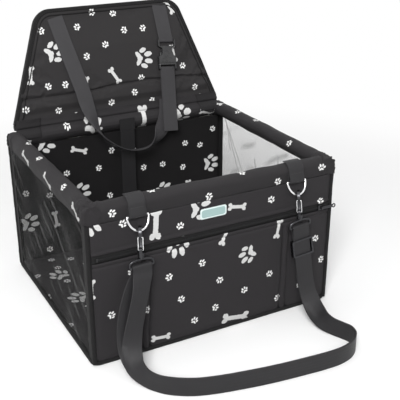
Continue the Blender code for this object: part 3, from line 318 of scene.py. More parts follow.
# Where they lie on a panel, in millimetres, and their turn in degrees
MARKS = {
    "print_front": {
        "p": ((-150, 216, 40), (-63, 193, 100), (89, 202, 60), (181, 180, 20), (176, 117, 70), (-28, 125, 30),
              (-82, 116, 160), (2, 89, 260), (-63, 74, 45), (46, 59.5, 120), (91, 76, 80), (108, 28, 150),
              (-5.5, 43.5, 10), (-41, 31, 60), (-173, 79, 30), (190, 76, 10), (-118, 72, 200), (150, 40, 70),
              (-150, 30, 20), (-140, 140, 130)),
        "M": ((-195, 223, -62), (50, 120, 205)),
        "P": ((-31, 213, 0), (-67, 161.5, -88)),
        "b": ((30, 203, -10), (10, 160.5, -115), (-97, 18, -5), (-200, 126, -93), (104, 150, 78), (165, 12, 60)),
        "B": ((-101, 204, -94), (31, 14.5, -9)),
    },
    "print_flap": {
        "p": ((-32, 175, 200), (6, 170, 100), (-124, 152, 160), (-62, 153, 140), (22, 140, 200), (58, 140, 150),
              (-16, 119, 120), (-52, 103, 170), (43, 56, 90), (-127, 61, 40), (-97, 61, 150), (129, 67, 80),
              (148, 25, 170), (27, 31, 20), (-17, 19, 120), (61, 12, 190), (-170, 27, 60), (-114, 19, 250),
              (160, 6, 30)),
        "P": ((-108, 116, 20), (52, 89, 0)),
        "b": ((-153, 82, -97), (-6, 65, -60), (-60, 55, -98), (114, 173, -62), (111, 91, -81)),
    },
    "print_back": {
        "p": ((-108, 159, 60), (-48, 158, 10), (-22, 187, 150), (19, 184, 20), (40, 143, 170), (79, 142, 60),
              (121, 129, 140), (126, 176, 80), (158, 167, 110), (-29, 101, 40), (-184, 136, 30), (-142, 124, 100),
              (-60, 60, 30), (20, 50, 80), (160, 40, 80), (-150, 20, 60), (110, 25, 10), (185, 195, 45)),
        "P": ((-141, 221, -3), (182, 126, 2), (80, 89, 16), (-83, 118, 10), (-182, 80, 8), (-20, 25, 100)),
        "b": ((-83, 198, -18), (132, 85, -90), (-134, 76, -84), (60, 30, 30)),
    },
    # On the rim's sleeve the first number runs round the rim from the front left corner, the second up its face
    "print_rim": {
        "p": ((28, 12, 20), (176, 6, 20), (293, 6, 40), (372, 14, 90), (92, 36, 90), (236, 34, 10), (469, 45, 20),
              (585, 33, 80), (642, 36, 10), (640, 8, 130), (1020, 45, 60), (900, 14, 70), (1090, 60, 70),
              (1174, 38, 60), (1246, 31, 70), (1366, 26, 40)),
        "P": ((800, 57, 180), (973, 49, 231), (1000, 8, 120)),
        "b": ((712, 43, 30), (520, 12, 60), (750, 60, 155), (830, 10, 20), (1200, 13, 160), (1306, 12, 152),
              (1424, 9, 150)),
        "B": ((877, 55, 88),),
    },
}


def laid_print(point, marks):
    """A print laid out mark by mark."""
    best = {}
    for letter, spots in marks.items():
        for x, y, turn in spots:
            made = use("print_spot", Point=point, Centre=(x / 1000, y / 1000, 0),
                       Mark=(radians(turn), *MARK_SIZES[letter]), **best)
            best = {label: made[label] for label in ("Reach", "Offset", "Style")}
    return {"Mask": use("paw_and_bone", Offset=best["Offset"], Style=best["Style"])["Mask"]}


for print_name, print_marks in MARKS.items():
    shared(print_name, Point=(0, 0, 0))(lambda point, marks=print_marks: laid_print(point, marks))

# ------------------------------------------------------------------ materials


def cut_flat(tree):
    """Where a point of a cloth lay when the cloth was cut."""
    return place("UVMap", tree=tree, uv_map="cloth")[0]


def in_solid(tree):
    return place("TexCoord", tree=tree)["Object"]


def bumped(height, distance):
    return place("Bump", {"Height": height, "Distance": distance, "Strength": 1.0})[0]


def cloth(tree, colour, printed=None, pitch=0.0007, shine=0.16):
    """Coated polyester cloth, with its print as a thin layer of ink that fills the weave."""
    point = cut_flat(tree)
    weave = use("plain_weave", Point=point, Pitch=pitch)
    height, tone = weave["Height"], weave["Tone"]
    shade, rough = shades(tone, colour, 0.55, 1.35), tone * 0.16 + 0.52
    if printed:
        ink = use(printed, Point=point)["Mask"]
        shade = blend(ink * ramp(height, 0.0, 0.30, 0.84, 1.0), shade, (0.86, 0.86, 0.85))
        height = height * (ink * -0.6 + 1.0)
        rough = ink * -0.12 + rough
    return {"Base Color": shade, "Roughness": rough, "Normal": bumped(height, pitch * 0.22),
            "Sheen Weight": 0.02, "Sheen Roughness": 0.5, "Specular IOR Level": shine}


def webbing(tree, colour):
    pitch = 0.0013
    ribs = use("webbing_ribs", Point=cut_flat(tree), Pitch=pitch)
    return {"Base Color": shades(ribs["Tone"], colour, 0.45, 1.35), "Roughness": ribs["Height"] * -0.14 + 0.56,
            "Normal": bumped(ribs["Height"], pitch * 0.16),
            "Sheen Weight": 0.02, "Sheen Roughness": 0.4, "Specular IOR Level": 0.24}


def net(tree):
    """Black knitted net: staggered round holes between fine threads, denser where it is drawn into folds, where it is
    also painted a sheen grey.
    """
    across, up, _ = split(cut_flat(tree) / (0.0021, 0.0018, 1.0))
    shift = reckon("PINGPONG", reckon("FLOOR", up), 1.0) * 0.5
    cell = combined(reckon("FRACT", across + shift) - 0.5, reckon("FRACT", up) - 0.5)
    thread = ramp(reckon("LENGTH", cell), 0.44, 0.50)
    fold = place("Attribute", tree=tree, attribute_name="fold")["Fac"]
    # The fold value thickens the net and turns its black to grey, the grey being painted sheen.
    return {"Base Color": blend(ramp(fold, 0.25, 0.90), (0.006, 0.006, 0.006), (0.13, 0.13, 0.13)),
            "Alpha": largest(thread, fold * 0.60), "Normal": bumped(thread, 0.0002), "Roughness": 0.55,
            "Specular IOR Level": 0.10}


def metal(tree, colour, roughness):
    marks = use("scuffs", Point=in_solid(tree), Scale=220.0)
    rub, scratch = marks["Rub"], marks["Scratch"]
    return {"Base Color": shades(rub, colour, 0.86, 1.0), "Normal": bumped(scratch, 0.00002), "Metallic": 1.0,
            "Roughness": scratch * 0.12 + rub * 0.10 + (roughness - 0.04)}


def plastic(tree, colour, roughness):
    point = in_solid(tree)
    rub = use("scuffs", Point=point, Scale=180.0)["Rub"]
    return {"Base Color": shades(rub, colour, 0.8, 1.15), "Roughness": rub * 0.14 + (roughness - 0.05),
            "Normal": bumped(flat_noise(point, 1600.0, 1.0), 0.00005)}


def foam(tree):
    pores = place("TexVoronoi", {"Vector": in_solid(tree), "Scale": 700.0})["Distance"]
    return {"Base Color": blend(pores, (0.34, 0.34, 0.32), (0.60, 0.60, 0.56)), "Normal": bumped(pores, 0.0004),
            "Roughness": 0.95, "Specular IOR Level": 0.1}


def board(tree):
    flecks = flat_noise(in_solid(tree) * (1.0, 4.0, 1.0), 260.0, 4.0, 0.7)
    return {"Base Color": blend(flecks, (0.09, 0.085, 0.08), (0.24, 0.225, 0.21)), "Normal": bumped(flecks, 0.0002),
            "Roughness": 0.8}


def new_material(name, draw, *given):
    """A material whose draw function tells what each socket of its shader gets."""
    made = bpy.data.materials.new(name)
    made.use_nodes = True
    shader = made.node_tree.nodes["Principled BSDF"].inputs
    for label, value in draw(made.node_tree, *given).items():
        join(value, shader[label])
    return made


STUFF, SLOTS = {}, {}
for stuff_name, stuff_slot, *stuff_given in (
    ("cloth_front", "cloth", cloth, (0.020, 0.0185, 0.020), "print_front"),
    ("cloth_flap", "cloth", cloth, (0.022, 0.0208, 0.0215), "print_flap"),
    ("cloth_rim", "cloth", cloth, (0.019, 0.0178, 0.019), "print_rim"),
    # The back lining's cloth is a darker copy of the printed cloth: painted shade for the inside of the box, under
    # the same ink.
    ("cloth_back", "lining", cloth, (0.009, 0.0086, 0.009), "print_back", 0.0007, 0.08),
    ("cloth", "cloth", cloth, (0.019, 0.0178, 0.019), "scattered_print"),
    ("plain_cloth", "cloth", cloth, (0.014, 0.0132, 0.014)),
    ("tape", "tape", cloth, (0.008, 0.0077, 0.008), None, 0.0009),
    ("thread", "tape", cloth, (0.040, 0.039, 0.040), None, 0.0004),
    # Webbing in three tones of one strap: the headrest strap's lighter copy is painted light, for the flap that faces
    # the lamps, and the tether's darker copy is painted shade, inside the back wall.
    ("webbing", "webbing", webbing, (0.0165, 0.0160, 0.0172)),
    ("headrest_webbing", "webbing", webbing, (0.031, 0.030, 0.032)),
    ("shaded_webbing", "webbing", webbing, (0.011, 0.0107, 0.0115)),
    ("net", "net", net),
    ("nickel", "nickel", metal, (0.86, 0.86, 0.87), 0.16),
    ("gunmetal", "gunmetal", metal, (0.060, 0.060, 0.064), 0.30),
    ("buckle", "buckle", plastic, (0.024, 0.024, 0.025), 0.30),
    ("zip", "zip", plastic, (0.010, 0.010, 0.011), 0.45),
    ("tube", "tube", plastic, (0.66, 0.66, 0.64), 0.40),
    ("label_field", "label", cloth, (0.30, 0.42, 0.41), None, 0.0005),
    ("label_border", "label", cloth, (0.60, 0.68, 0.67), None, 0.0005),
    ("foam", "foam", foam),
    ("board", "board", board),
):
    STUFF[stuff_name], SLOTS[stuff_name] = new_material(stuff_name, *stuff_given), stuff_slot

# ------------------------------------------------------------------ shapes


def at(spot, angle=0.0, axis="Z", size=(1, 1, 1)):
    """A place with a turn in degrees about an axis, and a size along each axis."""
    turn = Matrix.Rotation(radians(angle), 4, axis)
    return Matrix.Translation(spot) @ turn @ Matrix.Diagonal((*size, 1))


def ruffle(x, y, seed, size):
    """Smooth noise over a sheet, with features of a given size."""
    return cloud(x / size, y / size, seed * 7.31)


def hump(value, middle, width):
    return exp(-((value - middle) / width) ** 2)


def within(value):
    return min(max(value, 0.0), 1.0)


def run(low, high, count):
    """Numbers in even steps from low to high, both included."""
    return [low + (high - low) * step / count for step in range(count + 1)]


def arc(start, end, count):
    """Points of the unit circle in even steps between two angles in degrees."""
    return [(cos(angle), sin(angle)) for angle in run(radians(start), radians(end), count)]


def cloud(*spot):
    """Smooth noise at a place, between about -1 and 1."""
    return noise.noise(Vector(spot))


def rounded_in(edge, reach):
    """From 0 at an edge to 1 well inside it."""
    return 1 - exp(-edge / reach)


def neighbours(rows, closed=False):
    """Each row with the one after it and the one before it; past an open end the row itself."""
    last = len(rows) - 1
    for index, row in enumerate(rows):
        if closed:
            yield row, rows[(index + 1) % len(rows)], rows[index - 1]
        else:
            yield row, rows[min(index + 1, last)], rows[max(index - 1, 0)]


def add(name, data):
    obj = bpy.data.objects.new(name, data)
    bpy.context.scene.collection.objects.link(obj)
    return obj


def settle(name, bm, stuff, body="seat_box", stands_for="", sharp=42.0, outwards=True):
    """Turns a drawing into a piece of the object, which rides on a body and stands for solids."""
    mesh = bpy.data.meshes.new(name)
    bm.normal_update()
    if outwards:
        bmesh.ops.recalc_face_normals(bm, faces=bm.faces)
    bm.to_mesh(mesh)
    bm.free()
    mesh.materials.append(STUFF[stuff])
    mesh.shade_smooth()
    mesh.set_sharp_from_angle(angle=radians(sharp))
    obj = add(name, mesh)
    if body:
        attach(obj, body)
    if stands_for:
        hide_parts(*stands_for.split())
    return obj


def thicken(obj, thick, soft=0):
    """Gives a sheet its smoothness and its wall, which lies behind the seen face."""
    if soft:
        rounder = obj.modifiers.new("rounding", "SUBSURF")
        rounder.levels = rounder.render_levels = soft
    wall = obj.modifiers.new("thickness", "SOLIDIFY")
    wall.thickness = thick
    wall.offset = -1.0


def lay_flat(bm, where):
    """Lays the cloth out flat: where gives a place on it from a point and from the place it had."""
    flat = bm.loops.layers.uv["cloth"]
    for face in bm.faces:
        for loop in face.loops:
            loop[flat].uv = where(loop.vert, *loop[flat].uv)


def panel(name, low, high, cells, spread, stuff, stands_for="", thick=0.0, body="seat_box"):
    """Cloth or padding cut from low to high; spread gives a point's place and where it was cut."""
    bm = bmesh.new()
    bmesh.ops.create_grid(bm, x_segments=cells[0], y_segments=cells[1], size=0.5)
    bm.loops.layers.uv.new("cloth")
    cut = {}
    for vert in bm.verts:
        u, v = (first + (part + 0.5) * (last - first) for first, last, part in zip(low, high, vert.co))
        vert.co, cut[vert] = spread(u, v)
    lay_flat(bm, lambda vert, *_: cut[vert])
    piece = settle(name, bm, stuff, body, stands_for, outwards=False)
    if thick:
        thicken(piece, thick)
    return piece


def loft(stations, section, closed=False, sizes=None):
    """A section drawn along stations, each a place and two directions, with its cloth laid out flat."""
    bm = bmesh.new()
    count = len(section)
    slot, row = (bm.verts.layers.int.new(name) for name in ("slot", "row"))
    flat = bm.loops.layers.uv.new("cloth")
    ring = bmesh.ops.create_circle(bm, cap_ends=False, segments=count, radius=1.0)["verts"]
    for index, vert in enumerate(ring):
        vert[slot] = index
    edges = list(bm.edges)
    course = list(stations) + ([stations[0]] if closed else [])
    far = [0.0]
    for number, (middle, side, face) in enumerate(course):
        if number:
            made = bmesh.ops.extrude_edge_only(bm, edges=edges)["geom"]
            ring = [item for item in made if isinstance(item, bmesh.types.BMVert)]
            fresh = set(ring)
            edges = [item for item in made if isinstance(item, bmesh.types.BMEdge) and fresh.issuperset(item.verts)]
            far.append(far[-1] + (middle - course[number - 1][0]).length)
        size = sizes[number % len(stations)] if sizes else 1.0
        for vert in ring:
            across, out = section[vert[slot]]
            vert.co = middle + size * (across * side + out * face)
            vert[row] = number
    around = [0.0]
    for here, there in zip(section, section[1:] + section[:1]):
        around.append(around[-1] + (Vector(there) - Vector(here)).length)
    for face in bm.faces:
        slots = [loop.vert[slot] for loop in face.loops]
        wraps = max(slots) - min(slots) > 1
        for loop in face.loops:
            index = count if wraps and loop.vert[slot] == 0 else loop.vert[slot]
            loop[flat].uv = (around[index], far[loop.vert[row]])
    if closed:
        bmesh.ops.remove_doubles(bm, verts=bm.verts, dist=0.000001)
    else:
        bmesh.ops.holes_fill(bm, edges=[edge for edge in bm.edges if edge.is_boundary], sides=count)
    return bm


def tube(points, normal, radius, count=12, closed=False, sizes=None):
    """A round cord along points of a plane with a given normal."""
    stations = []
    for here, ahead, behind in neighbours(points, closed):
        along = (ahead - behind).normalized()
        stations.append((here, along.cross(normal).normalized(), normal.normalized()))
    return loft(stations, [(radius * x, radius * y) for x, y in arc(0, 360, count)[:-1]], closed, sizes)


def strap(name, rows, width, stuff, body, stands_for="", closed=False, level_ends=False,
          moved=Matrix.Identity(4), thick=WEBBING):
    """Webbing through rows, each a place, or a place with the direction across the webbing there."""
    stations = []
    turn = moved.to_3x3()
    rows = [row if isinstance(row, tuple) else (row, RIGHT) for row in rows]
    for (here, across), (ahead, _), (behind, _) in neighbours(rows, closed):
        along = (ahead - behind).normalized()
        if level_ends:
            level = across.normalized()
            along = (along - along.dot(level) * level).normalized()
        else:
            level = (across - across.dot(along) * along).normalized()
        stations.append((moved @ here, turn @ level, turn @ along.cross(level)))
    half, deep = width / 2, thick / 2
    inner = half - 0.7 * deep
    crown = -1.06 * deep
    near = [(-inner, -deep), (-half / 3, crown), (half / 3, crown), (inner, -deep), (half, -0.35 * deep)]
    section = near + [(-x, -y) for x, y in near]
    settle(name, loft(stations, section, closed), stuff, body, stands_for)


def smooth_route(rows, steps=8):
    """Rows of numbers read from a smooth curve through the rows given."""
    rows = [Vector(row) for row in rows]
    ends = [2 * rows[0] - rows[1]] + rows + [2 * rows[-1] - rows[-2]]
    path = []
    for first, second, third, fourth in zip(ends, ends[1:], ends[2:], ends[3:]):
        for step in range(steps):
            t = step / steps
            path.append(0.5 * (
                2 * second + (third - first) * t
                + (2 * first - 5 * second + 4 * third - fourth) * t ** 2
                + (3 * second - first - 3 * third + fourth) * t ** 3
            ))
    return path + [rows[-1]]


def merge(bm, other):
    """Adds a second drawing to the first."""
    spare = bpy.data.meshes.new("spare")
    other.to_mesh(spare)
    other.free()
    bm.from_mesh(spare)
    bpy.data.meshes.remove(spare)


def round_off(bm, geom, offset, steps, affect="EDGES", clamped=False):
    bmesh.ops.bevel(bm, geom=geom, offset=offset, offset_type="OFFSET", segments=steps, profile=0.5,
                    affect=affect, clamp_overlap=clamped, material=-1)


def refined(node, name, stuff, edge, angle=30.0, steps=3):
    """A copy of a hard solid with its flat faces joined and its edges rounded, which stands for it."""
    source = frame["nodes"][node]
    bm = bmesh.new()
    bm.from_mesh(source.data)
    bmesh.ops.remove_doubles(bm, verts=bm.verts, dist=0.000002)
    bmesh.ops.dissolve_limit(bm, angle_limit=radians(1.0), verts=bm.verts, edges=bm.edges)
    sharp = [item for item in bm.edges if item.is_manifold and item.calc_face_angle(0.0) > radians(angle)]
    round_off(bm, sharp, edge, steps, clamped=True)
    settle(name, bm, stuff, source["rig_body"], node, sharp=50.0)


def puff(obj, sewn, growth, pressure, cap, frames=20):
    """Lets cloth swell and wrinkle between its seams, and keeps the shape that it settles to."""
    rest = [vert.co.copy() for vert in obj.data.vertices]
    seams = obj.vertex_groups.new(name="seams")
    for index, spot in enumerate(rest):
        seams.add([index], sewn(spot), "REPLACE")
    cloth_like = obj.modifiers.new("swelling", "CLOTH")
    cloth_like.point_cache.frame_start, cloth_like.point_cache.frame_end = 1, frames
    for name, value in (("vertex_group_mass", "seams"), ("quality", 6), ("mass", 0.2), ("tension_stiffness", 18),
                        ("compression_stiffness", 18), ("shear_stiffness", 8), ("bending_stiffness", 0.12),
                        ("shrink_min", -growth), ("use_pressure", True), ("uniform_pressure_force", pressure)):
        setattr(cloth_like.settings, name, value)
    cloth_like.settings.effector_weights.gravity = 0
    scene = bpy.context.scene
    for number in range(1, frames + 1):
        scene.frame_set(number)
    settled = obj.evaluated_get(bpy.context.evaluated_depsgraph_get()).data
    places = [vert.co.copy() for vert in settled.vertices]
    obj.modifiers.remove(cloth_like)
    obj.vertex_groups.remove(seams)
    scene.frame_set(1)
    for vert, before, after in zip(obj.data.vertices, rest, places):
        shift = after - before
        if shift.length > cap:
            shift *= cap / shift.length
        vert.co = before + shift
    obj.data.update()


def bead(bm, matrix):
    bmesh.ops.create_icosphere(bm, subdivisions=1, radius=0.5, matrix=matrix)


def stitches(name, points, pitch, body, outward, length=0.0024, width=0.0005):
    """A row of short thread stitches along a line, each a small rounded bar on the cloth."""
    bm = bmesh.new()
    ways = [(there - here).length for here, there in zip(points, points[1:])]
    total = sum(ways)
    count = int(total / pitch)
    for number in range(count):
        far = (number + 0.5) * total / count
        index = 0
        while index < len(ways) - 1 and far > ways[index]:
            far -= ways[index]
            index += 1
        here, there = points[index], points[index + 1]
        along = (there - here).normalized()
        side = along.cross(outward).normalized()
        out = side.cross(along)
        turn = Matrix((side, along, out)).transposed().to_4x4()
        middle = here + along * far + out * width * 0.25
        bead(bm, Matrix.Translation(middle) @ turn @ Matrix.Diagonal((width, length, width, 1.0)))
    settle(name, bm, "thread", body, sharp=80.0)


def bunch(name, shape, sharp):
    """Gathered tape at the back left corner: balls inside each other, all drawn out again with each new one."""
    bm = bmesh.new()
    for seed, (cx, cy) in enumerate(CORNERS, 1):
        bmesh.ops.create_icosphere(bm, subdivisions=4, radius=1.0)
        for vert in bm.verts:
            vert.co = shape(vert.co, cx, cy, seed)
    settle(name, bm, "tape", sharp=sharp)


# ------------------------------------------------------------------ base, walls and nets


def front_relief(x, z):
    """How far the front cloth stands out of its flat place: soft waves and the pocket's two side pleats."""
    rise = 0.0005 * ruffle(x, z, 1, 0.055) + 0.0003 * ruffle(x, z, 2, 0.020)
    if z < 0.170:
        fade = within((0.163 - z) / 0.02)
        bend = 0.004 * ruffle(0, z, 3, 0.05)
        for height, spot, follows in ((-0.0030, 0.1135, 1.0), (0.0012, 0.1190, 1.0), (-0.0026, 0.1250, 0.6)):
            rise += height * fade * sum(hump(x, side * spot + bend * follows, 0.0022) for side in (-1, 1))
        rise += 0.0011 * hump(x, 0, 0.095) * hump(z, 0.085, 0.06)
        rise += 0.0008 * hump(z, 0.1618, 0.0028) - 0.0016 * hump(z, 0.1570, 0.0011)
        rise -= 0.0012 * hump(z, 0.0075, 0.006)
    else:
        rise += 0.0009 * hump(z, 0.1782, 0.0028) - 0.0010 * hump(z, 0.1830, 0.0010) + 0.0004 * hump(z, 0.2, 0.02)
    return rise - 0.0016 * hump(WALL_HALF_WIDTH - abs(x), 0, 0.006)


def walls():
    """The sheets of the front wall (side -1) and the back wall (side 1), and the padding between them."""
    def wall(name, facing, y, low, high, cells, stuff, node, thick, relief, flat, rests_on, slot=None):
        def spread(u, v):
            return Vector((-facing * u, y + facing * relief(-facing * u, v), v)), (u, v)
        panel(name, (-WALL_HALF_WIDTH, low), (WALL_HALF_WIDTH, high), cells, spread, stuff, node, thick)

    lining_foot = 0.0052
    wall("front_band", -1, -0.1795, 0.1760, WALL_TOP, (150, 22), "cloth_front", "front_top_band", 0.0016,
         front_relief, (0.3954, 0.0462), "front_panel_cloth")
    wall("front_pocket_cloth", -1, -0.1795, WALL_FOOT, 0.1640, (190, 70), "cloth_front", "front_pocket", 0.0016,
         front_relief, (0.3954, 0.1573), "front_panel_cloth")
    wall("front_panel_cloth", -1, -0.1774, WALL_FOOT, WALL_TOP, (20, 12), "plain_cloth", "front_panel", 0.0012,
         lambda x, z: -0.0004, (0.3954, 0.2155), "front_padding")
    wall("back_panel_cloth", 1, 0.1776, WALL_FOOT, WALL_TOP, (90, 50), "cloth", "back_panel", 0.0016,
         lambda x, z: 0.0014 * hump(x, 0, 0.12) * hump(z, 0.12, 0.07) + 0.0006 * ruffle(x, z, 8, 0.05),
         (0.3954, 0.2155), "back_padding")
    wall("front_lining_cloth", 1, -0.1697, lining_foot, WALL_TOP, (80, 40), "cloth", "front_lining", 0.0010,
         lambda x, z: 0.0005 * ruffle(-x, z, 9, 0.05), (0.3954, 0.2170), "front_padding", "lining")
    # The back lining wears the darker copy of the cloth, painted shade inside the box.
    wall("back_lining_cloth", -1, 0.1697, lining_foot, WALL_TOP, (110, 60), "cloth_back", "back_lining", 0.0010,
         lambda x, z: 0.0012 * ruffle(x, z, 11, 0.07) + 0.0006 * ruffle(x, z, 12, 0.03),
         (0.3954, 0.2170), "back_padding")
    for word, side in (("front", -1), ("back", 1)):
        def pad(u, v, side=side):
            rise = -0.0008 * (1 - hump(u, 0, 0.16)) + 0.0002 * ruffle(u, v, 14, 0.03)
            return Vector((-side * u, side * 0.1757 + side * rise, v)), (u, v)
        panel(word + "_padding", (-0.1975, 0.0070), (0.1975, 0.2220), (40, 22), pad, "foam", word + "_foam", 0.0036)


def nets():
    # Creases drawn down the right net: where each starts, its slope, and how far down it begins and ends
    creases = ((0.156, 0.82, 0, 0.12), (0.153, 0.58, 0, 0.10), (0.150, 0.34, 0.01, 0.06),
               (0.052, 0.20, 0.05, 0.10), (-0.02, 0.3, 0.02, 0.05))
    seam_reach = 0.012
    for word, side in (("left", -1), ("right", 1)):
        folds = []

        def spread(u, v, side=side, folds=folds):
            slant = u * (0.62 if side < 0 else 0.5) + v * 0.9
            drift = 0.012 * ruffle(u, v, 20 + side, 0.09)
            wave = 0.5 + 0.5 * sin((slant + drift) / 0.0062)
            patch = max(0.0, ruffle(u, v, 24 + side, 0.065) + 0.18)
            edge = min(1.0, (NET_HALF_WIDTH - abs(u)) / seam_reach)
            edge *= min(1.0, (WALL_TOP - v) / seam_reach, (v - WALL_FOOT) / seam_reach)
            crest = wave ** 7 * min(1.0, 3.0 * patch)
            out = 0.0016 * crest * edge - 0.0030 * edge * hump(v, 0.12, 0.07) * hump(u, 0, 0.11)
            # The fold value makes the net denser along its folds and gives it the grey of painted sheen there. On the
            # left net it also holds a broad haze of painted sheen, which thickens the net all over and so stands in
            # for shade on the inside behind it, and streaks that are painted highlights on folds as well as denser
            # net.
            drawn = 0.75 * crest * edge
            if side < 0:
                fold_streak_and_highlight = wave ** 5 * min(1.0, 2.0 * max(0.0, patch + 0.20))
                painted_sheen_haze = 0.34 + 0.30 * ruffle(u + 0.5 * v, v - 0.4 * u, 27, 0.05)
                drawn = max(painted_sheen_haze + 0.16 * fold_streak_and_highlight, 0.85 * fold_streak_and_highlight * edge)
            else:
                down = WALL_TOP - v
                for start, slope, top, foot in creases:
                    if top < down < foot:
                        bend = 0.002 * ruffle(down, 0, 26, 0.02)
                        drawn = max(drawn, hump(u, start - slope * down + bend, 0.0016))
            folds.append(drawn)
            return Vector((side * (0.2018 + out), side * u, v)), (u, v)
        piece = panel(word + "_net_cloth", (-NET_HALF_WIDTH, WALL_FOOT), (NET_HALF_WIDTH, WALL_TOP), (150, 94),
                      spread, "net", word + "_net")
        piece.data.attributes.new("fold", "FLOAT", "POINT").data.foreach_set("value", folds)
        for end, place_word in ((-1, "front"), (1, "back")):
            edge = [(Vector((side * 0.2021, end * (0.1665 - 0.0005 * ruffle(0, z, 3, 0.03)), z)), BACK)
                    for z in run(0.0075, 0.2215, 30)]
            strap(f"{word}_net_tape_{place_word}", edge, 0.0125, "tape", "seat_box", thick=0.0012)


def base():
    half_x, half_y = 0.1983, 0.1694

    def floor_pad(u, v):
        edge = min(half_x - abs(u), half_y - abs(v))
        rise = 0.0016 * rounded_in(edge, 0.010) + 0.0006 * ruffle(u, v, 31, 0.06) - 0.0009
        quilt = 0.0007 * max(hump(u, side * 0.067, 0.002) for side in (-1, 1))
        return Vector((u, v, 0.0082 + rise - quilt)), (u, v)
    panel("floor_pad", (-half_x, -half_y), (half_x, half_y), (120, 100), floor_pad, "cloth", "floor_lining", 0.0026)

    def underside(u, v):
        corner = hypot(max(abs(u) - 0.188, 0), max(abs(v) - 0.163, 0))
        return Vector((u, -v, 0.0002 + 0.0004 * min(corner / 0.01, 1.0))), (u, v)
    panel("base_cloth", (-0.1978, -0.1728), (0.1978, 0.1728), (40, 34), underside, "plain_cloth", "base_cover",
          0.0012)
    frame["nodes"]["base_board"].data.materials[0] = STUFF["board"]


def binding():
    """Tape sewn round the bottom edge and up the four corners, and bunched up at the back left foot."""
    inset, corner = 0.0032, 0.010
    path = []
    for cx, cy, start in ((1, -1, -90), (1, 1, 0), (-1, 1, 90), (-1, -1, 180)):
        centre = Vector((cx * (HALF_WIDTH - inset - corner), cy * (HALF_DEPTH - inset - corner), 0.0034))
        path += [centre + corner * Vector((x, y, 0)) for x, y in arc(start, start + 90, 8)]
    full = []
    for here, there in zip(path, path[1:] + path[:1]):
        steps = max(1, round((there - here).length / 0.006))
        full += [here.lerp(there, share) for share in run(0, 1, steps)[:-1]]
    sizes = [1 + 0.06 * ruffle(point.x, point.y, 40, 0.011) for point in full]
    settle("bottom_binding", tube(full, UP, 0.0033, closed=True, sizes=sizes), "tape", stands_for="edge_binding")
    bm = bmesh.new()
    for cx, cy in CORNERS:
        points = []
        for z in run(0.004, 0.2225, 36):
            drift = 0.0005 * ruffle(cx, z, 41 + cy, 0.03)
            points.append(Vector((cx * (0.2012 + drift), cy * (0.1762 + drift), z)))
        sizes = [1 + 0.10 * ruffle(point.z, cx, 42, 0.008) for point in points]
        merge(bm, tube(points, Vector((cx, cy, 0)).normalized(), 0.0036, sizes=sizes))
    settle("corner_bindings", bm, "tape")

    def tuck(ball, cx, cy, _):
        fine = abs(cloud(*(ball * 5.5 + Vector((cy, cx, 2)))))
        round_co = ball * (1 + (0.16 * cloud(*(ball * 2.2 + Vector((cx, cy, 0)) * 3)) + 0.10 * fine))
        return Vector((cx * 0.1955 + 0.0088 * round_co.x, cy * 0.1705 + 0.0088 * round_co.y,
                       0.0048 + 0.0072 * max(round_co.z, -0.62)))
    bunch("corner_tucks", tuck, 70.0)


# ------------------------------------------------------------------ rim


def rim_section():
    """The sleeve's section: outwards from the tube and up, from the outer seam over the top to the inner seam."""
    foot = SEAM_HEIGHT - TUBE_Z
    over = SLEEVE_RADIUS * 1.015
    return ([(0.0108, foot + 0.0004), (0.0117, foot + 0.0045), (0.0120, foot + 0.0100)]
            + [(over * x, over * y) for x, y in arc(-8, 188, 16)]
            + [(-0.0095, -0.0060), (-0.0045, foot + 0.0050), (0.0010, foot + 0.0004), (0.0060, foot)])


def crumple(bm, out):
    """Moves each point of a sleeve outwards; out tells how far, from its station and its angle round the tube."""
    bmesh.ops.recalc_face_normals(bm, faces=bm.faces)
    bm.normal_update()
    slot, row = bm.verts.layers.int["slot"], bm.verts.layers.int["row"]
    for vert in bm.verts:
        vert.co += out(vert[row], 2 * pi * vert[slot] / 28) * vert.normal


def rim():
    """One sleeve all round the rim, gathered at the corners."""
    stations, gathers = [], []
    near = run(0.0, 0.024, 20)
    for seed, (here, there) in enumerate(zip(CORNERS, CORNERS[1:] + CORNERS[:1]), 1):
        start = Vector((here[0] * TUBE_X, here[1] * TUBE_Y, 0))
        way = Vector(((there[0] - here[0]) / 2, (there[1] - here[1]) / 2, 0))
        out = Vector((way.y, -way.x, 0))
        length = 2 * (TUBE_X if way.x else TUBE_Y)
        between = run(0.0252, length - 0.0252, 66)
        for far in near + between + [length - step for step in reversed(near[1:])]:
            to_corner = min(far, length - far)
            mitre = max(0.0, 1 - to_corner / 0.009)
            side = (out - way * mitre if far < length / 2 else out + way * mitre).normalized()
            side *= 1 + 0.22 * mitre ** 2
            sag = 0.0007 * ruffle(far, seed, 51, 0.05)
            stations.append((start + way * far + Vector((0, 0, TUBE_Z + sag)), side, UP))
            gathers.append((far, seed, to_corner))
    bm = loft(stations, rim_section(), closed=True)

    def gathered(row, around):
        far, seed, to_corner = gathers[row % len(gathers)]
        pull = hump(to_corner, 0.004, 0.014)
        sine, cosine = sin(around), cos(around)
        ridge = 1 - 2 * abs(cloud(far / 0.0075 + 0.8 * sine, 0.5 * cosine, seed * 3.7))
        slack = cloud(far / 0.030, 1.3 * cosine, seed * 5.1 + 1.3 * sine)
        return 0.0034 * pull * (ridge - 0.70) + 0.0011 * (1 - pull) * slack - 0.0010 * hump(to_corner, 0, 0.0016)
    crumple(bm, gathered)
    lay_flat(bm, lambda vert, around, along: (along, around))
    settle("rim_sleeves", bm, "cloth_rim",
           stands_for="rim_sleeve_front rim_sleeve_right rim_sleeve_back rim_sleeve_left")
    for word in ("front", "right", "back", "left"):
        frame["nodes"]["rim_tube_" + word].data.materials[0] = STUFF["tube"]


